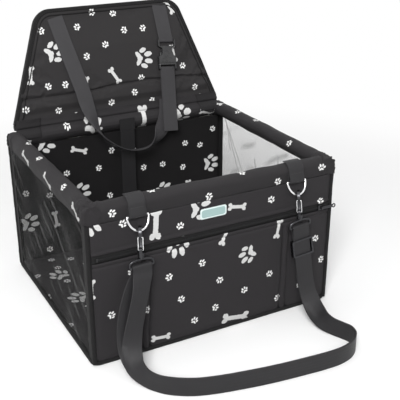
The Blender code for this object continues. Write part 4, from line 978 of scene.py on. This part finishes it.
def corner_wraps():
    """The front ends of the side sleeves, folded over the corners and gathered by hand."""
    for word, cx in (("left", -1), ("right", 1)):
        stations, sizes = [], []
        for step, far in enumerate(run(0.148, 0.1798, 30)):
            stations.append((Vector((cx * TUBE_X, -far, TUBE_Z)), cx * RIGHT, UP))
            sizes.append(1.025 + 0.060 * min(1.0, step / 2) - 0.10 * hump(far, 0.1800, 0.0030))
        bm = loft(stations, rim_section(), sizes=sizes)

        def folded(row, around, cx=cx):
            far = row / 30
            fold = 1 - 3.0 * abs(cloud(3.2 * far + 1.3 * cos(around), 1.3 * sin(around) + 1.6 * far, cx * 3.3))
            return 0.0030 * min(1.0, far * 2.5) * (fold - 0.55) - 0.0006 * abs(cloud(9 * far, 2 * around, 1))
        crumple(bm, folded)
        lay_flat(bm, lambda vert, around, _: (1.276 - vert.co.y if cx < 0 else 0.554 + vert.co.y, around))
        settle("corner_wrap_" + word, bm, "cloth_rim")


def rim_corner():
    """Tape knotted round the back left corner of the rim, where the sleeve is gathered and the corner tape ends."""
    def knot(ball, cx, cy, seed):
        turn = atan2(ball.z, ball.y)
        pleat = 0.12 * sin(7 * turn + seed + 3 * ball.x) + 0.22 * cloud(*(ball * 2.6 + seed * RIGHT))
        yaw = degrees(atan2(cy, cx))
        return at((cx * 0.2004, cy * 0.1754, 0.2335), yaw, "Z", (0.0050, 0.0074, 0.0120)) @ (ball * (1 + pleat))
    bunch("rim_corner_knots", knot, 75.0)


# ------------------------------------------------------------------ flap


def flap_half(s, inset=0.0):
    """Half the flap's width at a height above the fold, with its top corners rounded."""
    slope = (FLAP_BOTTOM - FLAP_TOP) / FLAP_LENGTH
    half = FLAP_BOTTOM - slope * s - inset * hypot(1, slope)
    radius = FLAP_TOP_CORNER - inset
    over = s - (FLAP_LENGTH - inset - radius)
    if over > 0:
        half -= radius - sqrt(max(radius ** 2 - over ** 2, 0.0))
    return half


def flap_point(x, s, out):
    return FLAP_AXIS + x * RIGHT + s * FLAP_UP + out * FLAP_OUT


def crease_line(x):
    return CREASE_HEIGHT + 0.0035 * sin(x * 17 + 0.6) + 0.002 * ruffle(x, 0, 60, 0.05)


def flap_relief(x, s):
    """The front face: padded above the crease, and two slack folds below it."""
    edge = min(flap_half(s) - abs(x), FLAP_LENGTH - s)
    crease = crease_line(x)
    rise = 0.0018 * rounded_in(max(edge - 0.009, 0), 0.010) + 0.0034 * hump(x, -0.01, 0.11) * hump(s, 0.115, 0.08)
    rise += 0.0009 * ruffle(x, s, 61, 0.075) + 0.0004 * ruffle(x, s, 62, 0.028)
    rise += 0.0014 * hump(s, crease + 0.009, 0.007) - 0.0042 * hump(s, crease, 0.0022)
    if s < crease:
        share = (crease - s) / crease
        rise += 0.0038 * sin(pi * min(share * 1.05, 1.0)) ** 1.4
        rise += 0.0013 * ruffle(x, s * 2.2, 63, 0.035)
        rise -= 0.0040 * max(0.0, 1 - s / 0.013) ** 2
    return rise


def flap_edge():
    """Rows round the flap from the left end of its hem: a place on the flap, and the way inwards there."""
    straight = FLAP_LENGTH - FLAP_TOP_CORNER
    heights = run(FLAP_HEM, straight, 60) + [straight + FLAP_TOP_CORNER * rise for _, rise in arc(0, 90, 12)[1:]]
    right = [(flap_half(min(s, FLAP_LENGTH - 1e-6)), s) for s in heights]
    across = [(x, FLAP_LENGTH) for x in run(-right[-1][0], right[-1][0], 50)[1:-1]]
    rows = []
    for here, ahead, behind in neighbours([(-x, s) for x, s in right] + across + right[::-1]):
        way = Vector((ahead[0] - behind[0], ahead[1] - behind[1])).normalized()
        rows.append((Vector(here), Vector((way.y, -way.x))))
    return rows


def flap():
    inset = 0.0022
    top = FLAP_LENGTH - inset

    def leaf(facing, inset, out):
        """A face of the flap, which looks to the front (1) or to the back (-1) and lies out from its middle."""
        def spread(u, v):
            x = facing * u * flap_half(v, inset)
            return flap_point(x, v, out(x, v)), (x, v)
        return spread

    def front(x, s):
        return FLAP_HALF - 0.0006 + flap_relief(x, s)

    def sewn(spot):
        s = (spot - FLAP_AXIS).dot(FLAP_UP)
        if min(flap_half(s) - abs(spot.x), top - s) < 0.0100 or s < 0.0110:
            return 1.0
        return 0.9 * hump(s, crease_line(spot.x), 0.0022)
    face = panel("flap_face", (-1, FLAP_HEM), (1, top), (128, 80), leaf(1, inset, front), "cloth_flap",
                 "flap_front_cover", body="flap")
    puff(face, sewn, 0.028, 0.6, 0.0026)
    for vert in face.data.vertices:
        s, out = (vert.co - FLAP_AXIS).dot(FLAP_UP), (vert.co - FLAP_AXIS).dot(FLAP_OUT)
        under_strap = 0.0056 + 0.061 * max(0.1765 - s, 0.0)
        over_rim = 0.0042 + 0.0050 * within((s - (0.042 if abs(vert.co.x) > 0.174 else 0.018)) / 0.010)
        vert.co -= max(out - min(under_strap, over_rim), 0.0) * FLAP_OUT
    thicken(face, 0.0012, 1)

    def rear(x, s):
        padded = 0.0012 * rounded_in(max(min(flap_half(s) - abs(x), top - s), 0), 0.02)
        return -(FLAP_HALF - 0.0004) - (padded + 0.0004 * ruffle(x, s, 66, 0.05))
    rear_cloth = panel("flap_rear", (-1, FLAP_HEM), (1, top), (90, 50), leaf(-1, inset, rear), "cloth",
                       "flap_back_cover", 0.0012, body="flap")
    panel("flap_padding", (-1, 0.0060), (1, FLAP_LENGTH - 0.0042), (70, 90),
          leaf(1, 0.0040, lambda x, s: 0.0018 + 0.8 * min(flap_relief(x, s), 0.0)), "foam", "flap_foam", 0.0030,
          body="flap")

    stations, sizes, piping, seam = [], [], [], []
    for spot, inwards in flap_edge():
        middle = spot + 0.0033 * inwards
        flat = 0.75 + 0.25 * within((spot.y - 0.045) / 0.02)
        stations.append((flap_point(middle.x, middle.y, 0), inwards.x * RIGHT + inwards.y * FLAP_UP, FLAP_OUT * flat))
        sizes.append(1 + 0.02 * ruffle(spot.x, spot.y, 70, 0.012))
        x, s = spot + 0.0112 * inwards
        if s >= 0.012:
            piping.append(flap_point(x, s, FLAP_HALF + flap_relief(x, s) + 0.0002))
        x, s = spot + 0.0048 * inwards
        if s > 0.06:
            seam.append(flap_point(x, s, 0.0067))
    section = [(-0.0033, -0.0032), (-0.0028, -0.0056), (-0.0014, -0.0067), (0.0020, -0.0067), (0.0033, -0.0060)]
    section += [(x, -y) for x, y in section[::-1]]
    settle("flap_edge_tape", loft(stations, section, sizes=sizes), "tape", "flap", "flap_binding")
    settle("flap_inner_piping", tube(piping, FLAP_OUT, 0.0009, 10), "tape", "flap")
    stitches("flap_stitches", seam, 0.0036, "flap", FLAP_OUT)
    hem = run(-0.1925, 0.1925, 60)
    sizes = [1 + 0.03 * ruffle(x, 0, 71, 0.02) for x in hem]
    roll = tube([FLAP_AXIS + x * RIGHT for x in hem], UP, 0.0050, 16, sizes=sizes)
    settle("flap_hem_roll", roll, "plain_cloth", "flap", "flap_hem")


def fold_line(v):
    """A place on the cloth that turns over the back sleeve and up on to the flap, from 0 at its inner edge to 1."""
    over_rim = ((0.1556, 0.2385), (0.1572, 0.2444), (0.1612, 0.2493), (0.1650, 0.2520), (0.1657, 0.2562))
    rows = [Vector((0, y, z)) for y, z in over_rim] + [flap_point(0, s, 0.0058) for s in (0.0052, 0.0085, 0.0115)]
    far = min(v * (len(rows) - 1), len(rows) - 1.000001)
    index = int(far)
    return rows[index].lerp(rows[index + 1], far - index)


def fold_cloth():
    """Cloth that joins the rim and the flap over the fold line, with a cuff sewn on at each end."""
    for name, low, high, lift, swell, columns, stuff in (
        ("fold_cloth", -0.1935, 0.1935, 0.0004, 0.0, 120, "cloth_rim"),
        ("fold_cuff_left", -0.1930, -0.1520, 0.0016, 0.0009, 24, "plain_cloth"),
        ("fold_cuff_right", 0.1520, 0.1930, 0.0016, 0.0009, 24, "plain_cloth"),
    ):
        def spread(u, v, low=low, high=high, lift=lift, swell=swell):
            ahead = (fold_line(min(v + 0.02, 1.0)) - fold_line(max(v - 0.02, 0.0))).normalized()
            slack = 0.0007 * ruffle(u, v * 0.05, 75, 0.018) + 0.0010 * ruffle(u, v * 0.03, 76, 0.05)
            out = lift + swell * rounded_in(min(u - low, high - u), 0.002) + slack - 0.0018 * hump(v, 0.46, 0.05)
            x = u * (1 - 0.030 * v)
            return fold_line(v) + out * Vector((0, -ahead.z, ahead.y)) + x * RIGHT, (0.915 - x, 0.0530 - v * 0.028)
        piece = panel(name, (low, 0.0), (high, 1.0), (columns, 42), spread, stuff, thick=0.0008, body=None)
        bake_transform(piece)


# ------------------------------------------------------------------ zip, tabs, rings and label


def zip_row():
    panel("zip_tape_cloth", (-WALL_HALF_WIDTH, 0.1648), (WALL_HALF_WIDTH, 0.1752), (80, 4),
          lambda u, v: (Vector((u, -0.1788, v)), (u, v)), "tape", "zip_tape", 0.0009)
    bm = bmesh.new()
    height = 0.170
    for number, x in enumerate(run(-0.1895, 0.1895, 252)):
        offset = 0.0008 if number % 2 else -0.0008
        bead(bm, at((x, -0.1801, height + offset), size=(0.0009, 0.0014, 0.0030)))
    for side in (-1, 1):
        stop = at((side * 0.190, -0.1802, height), size=(0.0022, 0.0018, 0.0050))
        made = bmesh.ops.create_cube(bm, size=1.0, matrix=stop)["verts"]
        round_off(bm, list({edge for vert in made for edge in vert.link_edges}), 0.0004, 2)
    settle("zip_teeth", bm, "zip", stands_for="zip_coil", sharp=80.0)
    refined("zip_slider", "zip_runner_body", "gunmetal", 0.0003, 32.0, 2)
    refined("zip_pull", "zip_pull_tab", "gunmetal", 0.0003, 32.0, 2)


def ring_tab_rows(x):
    """Webbing over the sleeve, round the ring's bar and back up behind itself."""
    back = -HALF_DEPTH - AIR - WEBBING / 2
    over = SLEEVE_RADIUS + 2 * AIR + 1.5 * WEBBING
    top = 0.2315
    rows = [Vector((x, back, z)) for z in (TUBE_Z - AIR, top, RING_Z)]
    rows += [Vector((x, RING_Y + BAR_TURN * y, RING_Z - BAR_TURN * z)) for y, z in arc(0, 180, 12)[1:]]
    rows.append(Vector((x, RING_Y - BAR_TURN - 0.0002, top)))
    return rows + [Vector((x, -TUBE_Y + over * y, TUBE_Z + over * z)) for y, z in arc(180, 76, 12)]


def d_points(half_width, reach, fullness, steps):
    """A straight bar and the bow that closes it."""
    bar = [Vector((x, 0, 0)) for x in run(-half_width, half_width, 12)[:-1]]
    return bar + [Vector((half_width * x, 0, -reach * abs(y) ** fullness)) for x, y in arc(0, 180, steps)[:-1]]


def sewn_box(middle, half_width, low, high):
    """The corners of a row of stitches that runs round a box, back to where it began."""
    corners = ((-1, low), (1, low), (1, high), (-1, high), (-1, low))
    return [middle + Vector((side * half_width, 0, z)) for side, z in corners]


def tabs_and_rings():
    for word, x in (("left", -RING_X), ("right", RING_X)):
        strap("ring_tab_strap_" + word, ring_tab_rows(x), TAB_WIDTH, "webbing", "seat_box", "ring_tab_" + word)
        box = sewn_box(Vector((x, -0.1837, 0)), 0.010, 0.2325, 0.2375)
        stitches("tab_stitches_" + word, box, 0.0026, "seat_box", -BACK)
        lean = at((x, RING_Y, RING_Z), -23, "X")
        points = [lean @ point for point in d_points(0.0160, 0.0208, 1.0, 48)]
        wire = tube(points, lean.to_3x3() @ BACK, 0.00152, 14, closed=True)
        settle("d_ring_wire_" + word, wire, "nickel", "ring_" + word, "d_ring_" + word)
    for name, wide, tall, y, stands_for in (("label_border", 0.043, 0.016, -0.18035, "cloth_label"),
                                            ("label_field", 0.0385, 0.0118, -0.1807, "")):
        bm = bmesh.new()
        bm.loops.layers.uv.new("cloth")
        bmesh.ops.create_grid(bm, x_segments=1, y_segments=1, size=0.5)
        bmesh.ops.scale(bm, vec=(wide, tall, 1), verts=bm.verts)
        round_off(bm, list(bm.verts), 0.0034, 6, "VERTICES")
        made = bmesh.ops.extrude_face_region(bm, geom=list(bm.faces))["geom"]
        raised = [item for item in made if isinstance(item, bmesh.types.BMVert)]
        bmesh.ops.translate(bm, vec=0.0005 * UP, verts=raised)
        lay_flat(bm, lambda vert, *_: vert.co.xy)
        bm.transform(at((-0.010, y, 0.2035), 90, "X"))
        settle(name, bm, name, stands_for=stands_for)


# ------------------------------------------------------------------ hooks and straps


def hook_dressing(word, hanger, yaw):
    """The swivel eye, the hook and its wire gate."""
    normal = hanger.to_3x3() @ BACK
    bow = [hanger @ (point - EYE_DROP * UP) for point in d_points(0.0178, -0.0105, 0.45, 56)]
    post = [hanger @ (z * UP) for z in (-0.0345, -0.0365, -0.040, -0.0435)]
    bm = tube(bow, normal, EYE_RADIUS, closed=True)
    merge(bm, tube(post, normal, 0.0021))
    body = "tether" if word == "tether" else "carry_strap"
    settle("swivel_eye_" + word, bm, "gunmetal", body, "snap_hook_eye_" + word)
    refined("snap_hook_" + word, "hook_body_" + word, "gunmetal", 0.0009)
    swivel = hanger @ Matrix.Rotation(radians(yaw), 4, "Z")
    pivot, tip = Vector((0, -0.0026, -0.0284)), Vector((0, -0.0047, -0.0080))
    half, bend = 0.0034 * RIGHT, 0.0012
    gate = []
    for corner, after, before in neighbours([pivot - half, pivot + half, tip + half, tip - half], closed=True):
        first = corner + (before - corner).normalized() * bend
        last = corner + (after - corner).normalized() * bend
        for t in run(0, 1, 4):
            gate.append(swivel @ (first * (1 - t) ** 2 + corner * 2 * t * (1 - t) + last * t ** 2))
    bm = tube(gate, swivel.to_3x3() @ RIGHT.cross(tip - pivot), 0.00085, 10, closed=True)
    settle("gate_wire_" + word, bm, "nickel", "gate_" + word, "snap_gate_" + word)


# The carry strap's route: its place in shares of the left eye's place, the way across it, how far its two
# layers part, and how far each slips to its own side, in widths of the strap
LEFT_EYE = (-RING_X, HANGER_Y, HANGER_Z - EYE_DROP)
DOWN_TO_FLOOR = (
    (-1.041, -1.025, 0.864, 0.99, 0.12, 0, 1.05, 0.06),
    (-1.093, -1.043, 0.775, 0.98, 0.20, 0, 1.2, 0.17),
    (-1.168, -1.069, 0.604, 0.98, 0.20, 0.05, 1.2, 0.21),
    (-1.230, -1.106, 0.433, 0.96, 0.20, 0.20, 0.85, 0.16),
    (-1.269, -1.163, 0.289, 0.85, 0.20, 0.50, 0.37, 0.07),
    (-1.269, -1.241, 0.177, 0.50, 0.20, 0.85, 0, 0),
    (-1.224, -1.325, 0.118, 0.15, 0.10, 0.98, 0, 0),
)
ON_FLOOR = (
    (-1.146, -1.414), (-1.031, -1.500), (-0.836, -1.584), (-0.606, -1.639), (-0.331, -1.682), (-0.060, -1.717),
    (0.200, -1.742), (0.429, -1.759), (0.654, -1.773), (0.864, -1.773), (1.046, -1.740), (1.176, -1.669),
    (1.219, -1.580), (1.184, -1.502),
)
UP_FROM_FLOOR = (
    (1.131, -1.419, 0.102, 0.05, 0.05, 1, 0, 0),
    (1.096, -1.335, 0.118, 0.35, 0.10, 0.92, 0, 0),
    (1.093, -1.251, 0.151, 0.70, 0.05, 0.70, 0, 0),
    (1.101, -1.168, 0.210, 0.92, 0, 0.38, 0, 0),
    (1.107, -1.100, 0.295, 0.99, 0, 0.15, 0, 0),
    (1.101, -1.059, 0.420, 0.99, 0, 0.10, 0, 0),
)
# Shares of the straight leg up to the right eye, with how far the layers part there
RIGHT_LEG = ((0.25, 0), (0.5, 0), (0.7, 0), (0.8, 0), (0.9, 0.5), (1, 1))


def half_gap(parting):
    return LAYER_HALF_GAP + parting * (EYE_TURN - LAYER_HALF_GAP)


def carry_strap():
    """The endless carry strap: two layers from the left eye over the floor to the right eye."""
    left, right = at((-RING_X, HANGER_Y, HANGER_Z)), at((RING_X, HANGER_Y, HANGER_Z), -6, "Y")
    hook_dressing("left", left, -28)
    hook_dressing("right", right, -34)
    rows = [(LEFT_EYE[0], LEFT_EYE[1] - back, LEFT_EYE[2] - drop, 1, 0, 0, EYE_TURN, 0)
            for back, drop in ((0, 0), (0.0010, 0.0100))]
    on_floor = tuple((x, y, 0.098, 0, 0, 1, 0, 0) for x, y in ON_FLOOR)
    for x, y, z, *across, parting, slip in DOWN_TO_FLOOR + on_floor + UP_FROM_FLOOR:
        spot = (-x * LEFT_EYE[0], -y * LEFT_EYE[1], z * LEFT_EYE[2])
        rows.append((*spot, *across, half_gap(parting), slip * STRAP_WIDTH))
    start = Vector(rows[-1][:3])
    straight = right @ (-EYE_DROP * UP) - start
    for share, parting in RIGHT_LEG:
        rows.append((*(start + share * straight), *(right.to_3x3() @ RIGHT), half_gap(parting), 0))
    path = smooth_route(rows)
    outer, inner = [], []
    for row, ahead, behind in neighbours(path):
        along = (Vector(ahead[:3]) - Vector(behind[:3])).normalized()
        across = Vector(row[3:6])
        across = (across - across.dot(along) * along).normalized()
        proud = along.cross(across)
        off = row[6] * proud + row[7] * across
        outer.append((Vector(row[:3]) + off, across, proud, along))
        inner.append((Vector(row[:3]) - off, across, proud, along))

    def eye_turn(centre, station, way):
        """The webbing's turn through an eye, from one layer to the other."""
        _, across, proud, along = station
        return [(centre + EYE_TURN * way * (x * proud + y * along), across) for x, y in arc(0, 180, 12)[1:-1]]
    line = [(spot, across) for spot, across, *_ in outer] + eye_turn(Vector(path[-1][:3]), outer[-1], 1)
    line += [(spot, across) for spot, across, *_ in reversed(inner)] + eye_turn(Vector(path[0][:3]), outer[0], -1)
    strap("carry_strap_band", line, STRAP_WIDTH, "webbing", "carry_strap", "carry_strap_webbing", closed=True)
    refined("strap_adjuster", "strap_slide", "gunmetal", 0.0007)


# The headrest strap's route on the flap: across in shares of half the flap's top, out and down in shares of
# its drop, and its twist in degrees
STRAP_DROP = 0.2455
HEADREST_ROUTE = (
    (-0.771, 0, -0.018, 0), (-0.708, 0, -0.167, 0), (-0.635, 0, -0.33, 0), (-0.550, 0, -0.521, 0),
    (-0.520, 0, -0.619, 5), (-0.489, -0.0122, -0.709, 25), (-0.430, -0.0265, -0.807, 60),
    (-0.313, -0.0244, -0.9, 85), (-0.125, -0.0081, -0.971, 90), (0.079, 0, -1, 90), (0.265, 0.0041, -0.992, 97),
    (0.414, 0.0163, -0.949, 130), (0.524, 0.0224, -0.888, 172), (0.598, 0.0196, -0.819, 178),
    (0.637, 0.0163, -0.749, 180), (0.660, 0.0151, -0.672, 180),
)


def bar_turn(centre, radius, way):
    """Half a turn round a bar, over it (1) or under it (-1)."""
    return [centre + radius * Vector((0, -y, way * z)) for y, z in arc(0, 180, 10)]


def headrest_strap():
    plane = at(flap_point(0, 0.1765, FLAP_HALF + WEBBING), -16.5, "X")
    path = smooth_route([(x * FLAP_TOP, y * STRAP_DROP, z * STRAP_DROP, twist) for x, y, z, twist in HEADREST_ROUTE])
    line = []
    for row, ahead, behind in neighbours(path):
        along = Vector((ahead[0] - behind[0], 0, ahead[2] - behind[2])).normalized()
        twist = radians(row[3])
        across = cos(twist) * Vector((-along.z, 0, along.x)) + sin(twist) * BACK
        line.append((Vector(row[:3]), across))
    # The headrest strap wears the lighter copy of the webbing, painted light.
    strap("headrest_band_long", line, NARROW_WIDTH, "headrest_webbing", "headrest_strap", "headrest_strap_long",
          moved=plane)
    # The buckle's middle, and the bars at its two ends that the webbing turns round
    drop, half_length, plug_reach = 0.0815, 0.0205, 0.0104
    buckle = plane @ at((0.096, 0, -drop), 5, "Y")
    bar = (half_length - BAR_RADIUS - AIR) * UP
    top = Matrix.Rotation(radians(-5), 3, "Y") @ Vector((-0.002, 0, drop))
    line = [top, bar + 0.5 * (top - bar) - WEBBING * BACK] + bar_turn(bar, BAR_TURN, -1)
    line.append(bar + Vector((0, WEBBING + 2 * AIR, half_length)))
    strap("headrest_band_short", line, NARROW_WIDTH, "headrest_webbing", "headrest_strap", "headrest_strap_short",
          level_ends=True, moved=buckle)
    bar = (-half_length - plug_reach + BAR_RADIUS) * UP
    end = bar - 0.112 * UP
    fold, narrow, off = end + 0.026 * UP, bar - 3 * BAR_TURN * UP, LAYER_HALF_GAP * BACK
    line = [end - off, fold - off, narrow - off] + bar_turn(bar, BAR_TURN, 1) + [narrow + off, fold + off, end + off]
    strap("headrest_band_tail", line, NARROW_WIDTH, "headrest_webbing", "buckle_plug", "headrest_strap_tail",
          moved=buckle)
    box = [buckle @ point for point in sewn_box(end - 0.0017 * BACK, 0.0095, 0.003, 0.021)]
    stitches("tail_stitches", box, 0.0030, "buckle_plug", buckle.to_3x3() @ -BACK)
    refined("buckle_female", "buckle_shell", "buckle", 0.0009)
    refined("buckle_male", "buckle_plug_body", "buckle", 0.0006, steps=2)
    for word in ("left", "right"):
        refined("buckle_press_arm_" + word, "buckle_arm_" + word, "buckle", 0.0006, steps=2)


def tether():
    """The dog's safety tether inside the back wall."""
    x, y = 0.004, HALF_DEPTH - 2 * SLEEVE_RADIUS - AIR - WEBBING / 2
    line = [Vector((x, y, z)) for z in (0.2253, 0.232, 0.240, 0.2473)]
    strap("tether_tab_strap", line, STRAP_WIDTH, "shaded_webbing", "seat_box", "tether_tab")
    line = [Vector((x, y, z)) for z in run(0.2250, 0.1873, 8)]
    strap("tether_band_upper", line, NARROW_WIDTH, "shaded_webbing", "seat_box", "tether_upper_webbing")
    bend_height, eye_height = 0.1860, 0.0835
    bend = at((x, y, bend_height))
    eye = (eye_height - bend_height) * UP
    top, low = WEBBING / 2 * UP, eye + Vector((0, -WEBBING / 2, 3 * EYE_TURN))
    line = [top.lerp(low, share) for share in run(0, 1, 8)] + bar_turn(eye, EYE_TURN, -1)
    line += [eye + Vector((0, WEBBING + AIR, turns * EYE_TURN)) for turns in (3, 6)]
    strap("tether_band_lower", line, NARROW_WIDTH, "shaded_webbing", "tether", "tether_lower_webbing", moved=bend)
    hook_dressing("tether", bend @ at((0, 0, eye.z - EYE_DROP), 180, "Y"), 0)


# ------------------------------------------------------------------ stage


def paper(tree):
    """White paper that fades into the background far from the object."""
    paths = place("LightPath", tree=tree)
    seen = largest(paths["Is Camera Ray"], paths["Is Glossy Ray"])
    share = ramp(reckon("LENGTH", in_solid(tree) * (1, 1, 0)), 0.45, 1.1) * seen
    glow = place("Emission", {"Color": (1, 1, 1), "Strength": 1.0}, tree)[0]
    cloudy = Wire(tree.nodes["Principled BSDF"].outputs[0])
    join(place("MixShader", {0: share, 1: cloudy, 2: glow})[0], tree.nodes["Material Output"].inputs["Surface"])
    return {"Base Color": blend(paths["Is Diffuse Ray"], (0.93, 0.93, 0.93), (0.36, 0.36, 0.36)), "Roughness": 0.9,
            "Specular IOR Level": 0.1}


def aimed(name, data, spot, way):
    obj = add(name, data)
    obj.location = spot
    obj.rotation_mode = "QUATERNION"
    obj.rotation_quaternion = way.to_track_quat("-Z", "Y")
    return obj


def stage():
    scene = bpy.context.scene
    data = bpy.data.cameras.new("camera")
    data.sensor_width = 36.0
    data.lens = 793.87 / 400 * data.sensor_width
    data.clip_start, data.clip_end = 0.05, 60.0
    scene.camera = aimed("camera", data, (-0.5208, -1.0816, 0.6749), Vector((0.4369, 0.8054, -0.4005)))
    for name, spot, aim_height, size, power in (
        ("key", (-1.25, -2.0, 1.9), 0.15, 1.1, 88.0),
        ("fill", (1.9, -1.3, 1.2), 0.15, 1.8, 3.0),
        ("top", (-0.4, 0.3, 2.4), 0.1, 2.0, 14.0),
    ):
        lamp = bpy.data.lights.new(name, "AREA")
        lamp.size, lamp.energy = size, power
        aimed(name, lamp, spot, aim_height * UP - Vector(spot))
    scene.world = bpy.data.worlds.new("studio")
    scene.world.use_nodes = True
    tree = scene.world.node_tree
    paths = place("LightPath", tree=tree)
    seen = largest(paths["Is Camera Ray"], paths["Is Glossy Ray"], paths["Is Transmission Ray"])
    back = tree.nodes["Background"].inputs
    join((1, 1, 1), back["Color"])
    join(seen * 0.62 + 0.38, back["Strength"])
    bm = bmesh.new()
    bmesh.ops.create_circle(bm, cap_ends=True, segments=96, radius=7.0)
    mesh = bpy.data.meshes.new("floor")
    bm.to_mesh(mesh)
    bm.free()
    mesh.materials.append(new_material("floor_paper", paper))
    add("floor", mesh)
    scene.view_settings.view_transform = "Standard"


for build in (stage, base, walls, nets, binding, rim, corner_wraps, rim_corner, flap, fold_cloth, zip_row,
              tabs_and_rings, carry_strap, headrest_strap, tether):
    build()
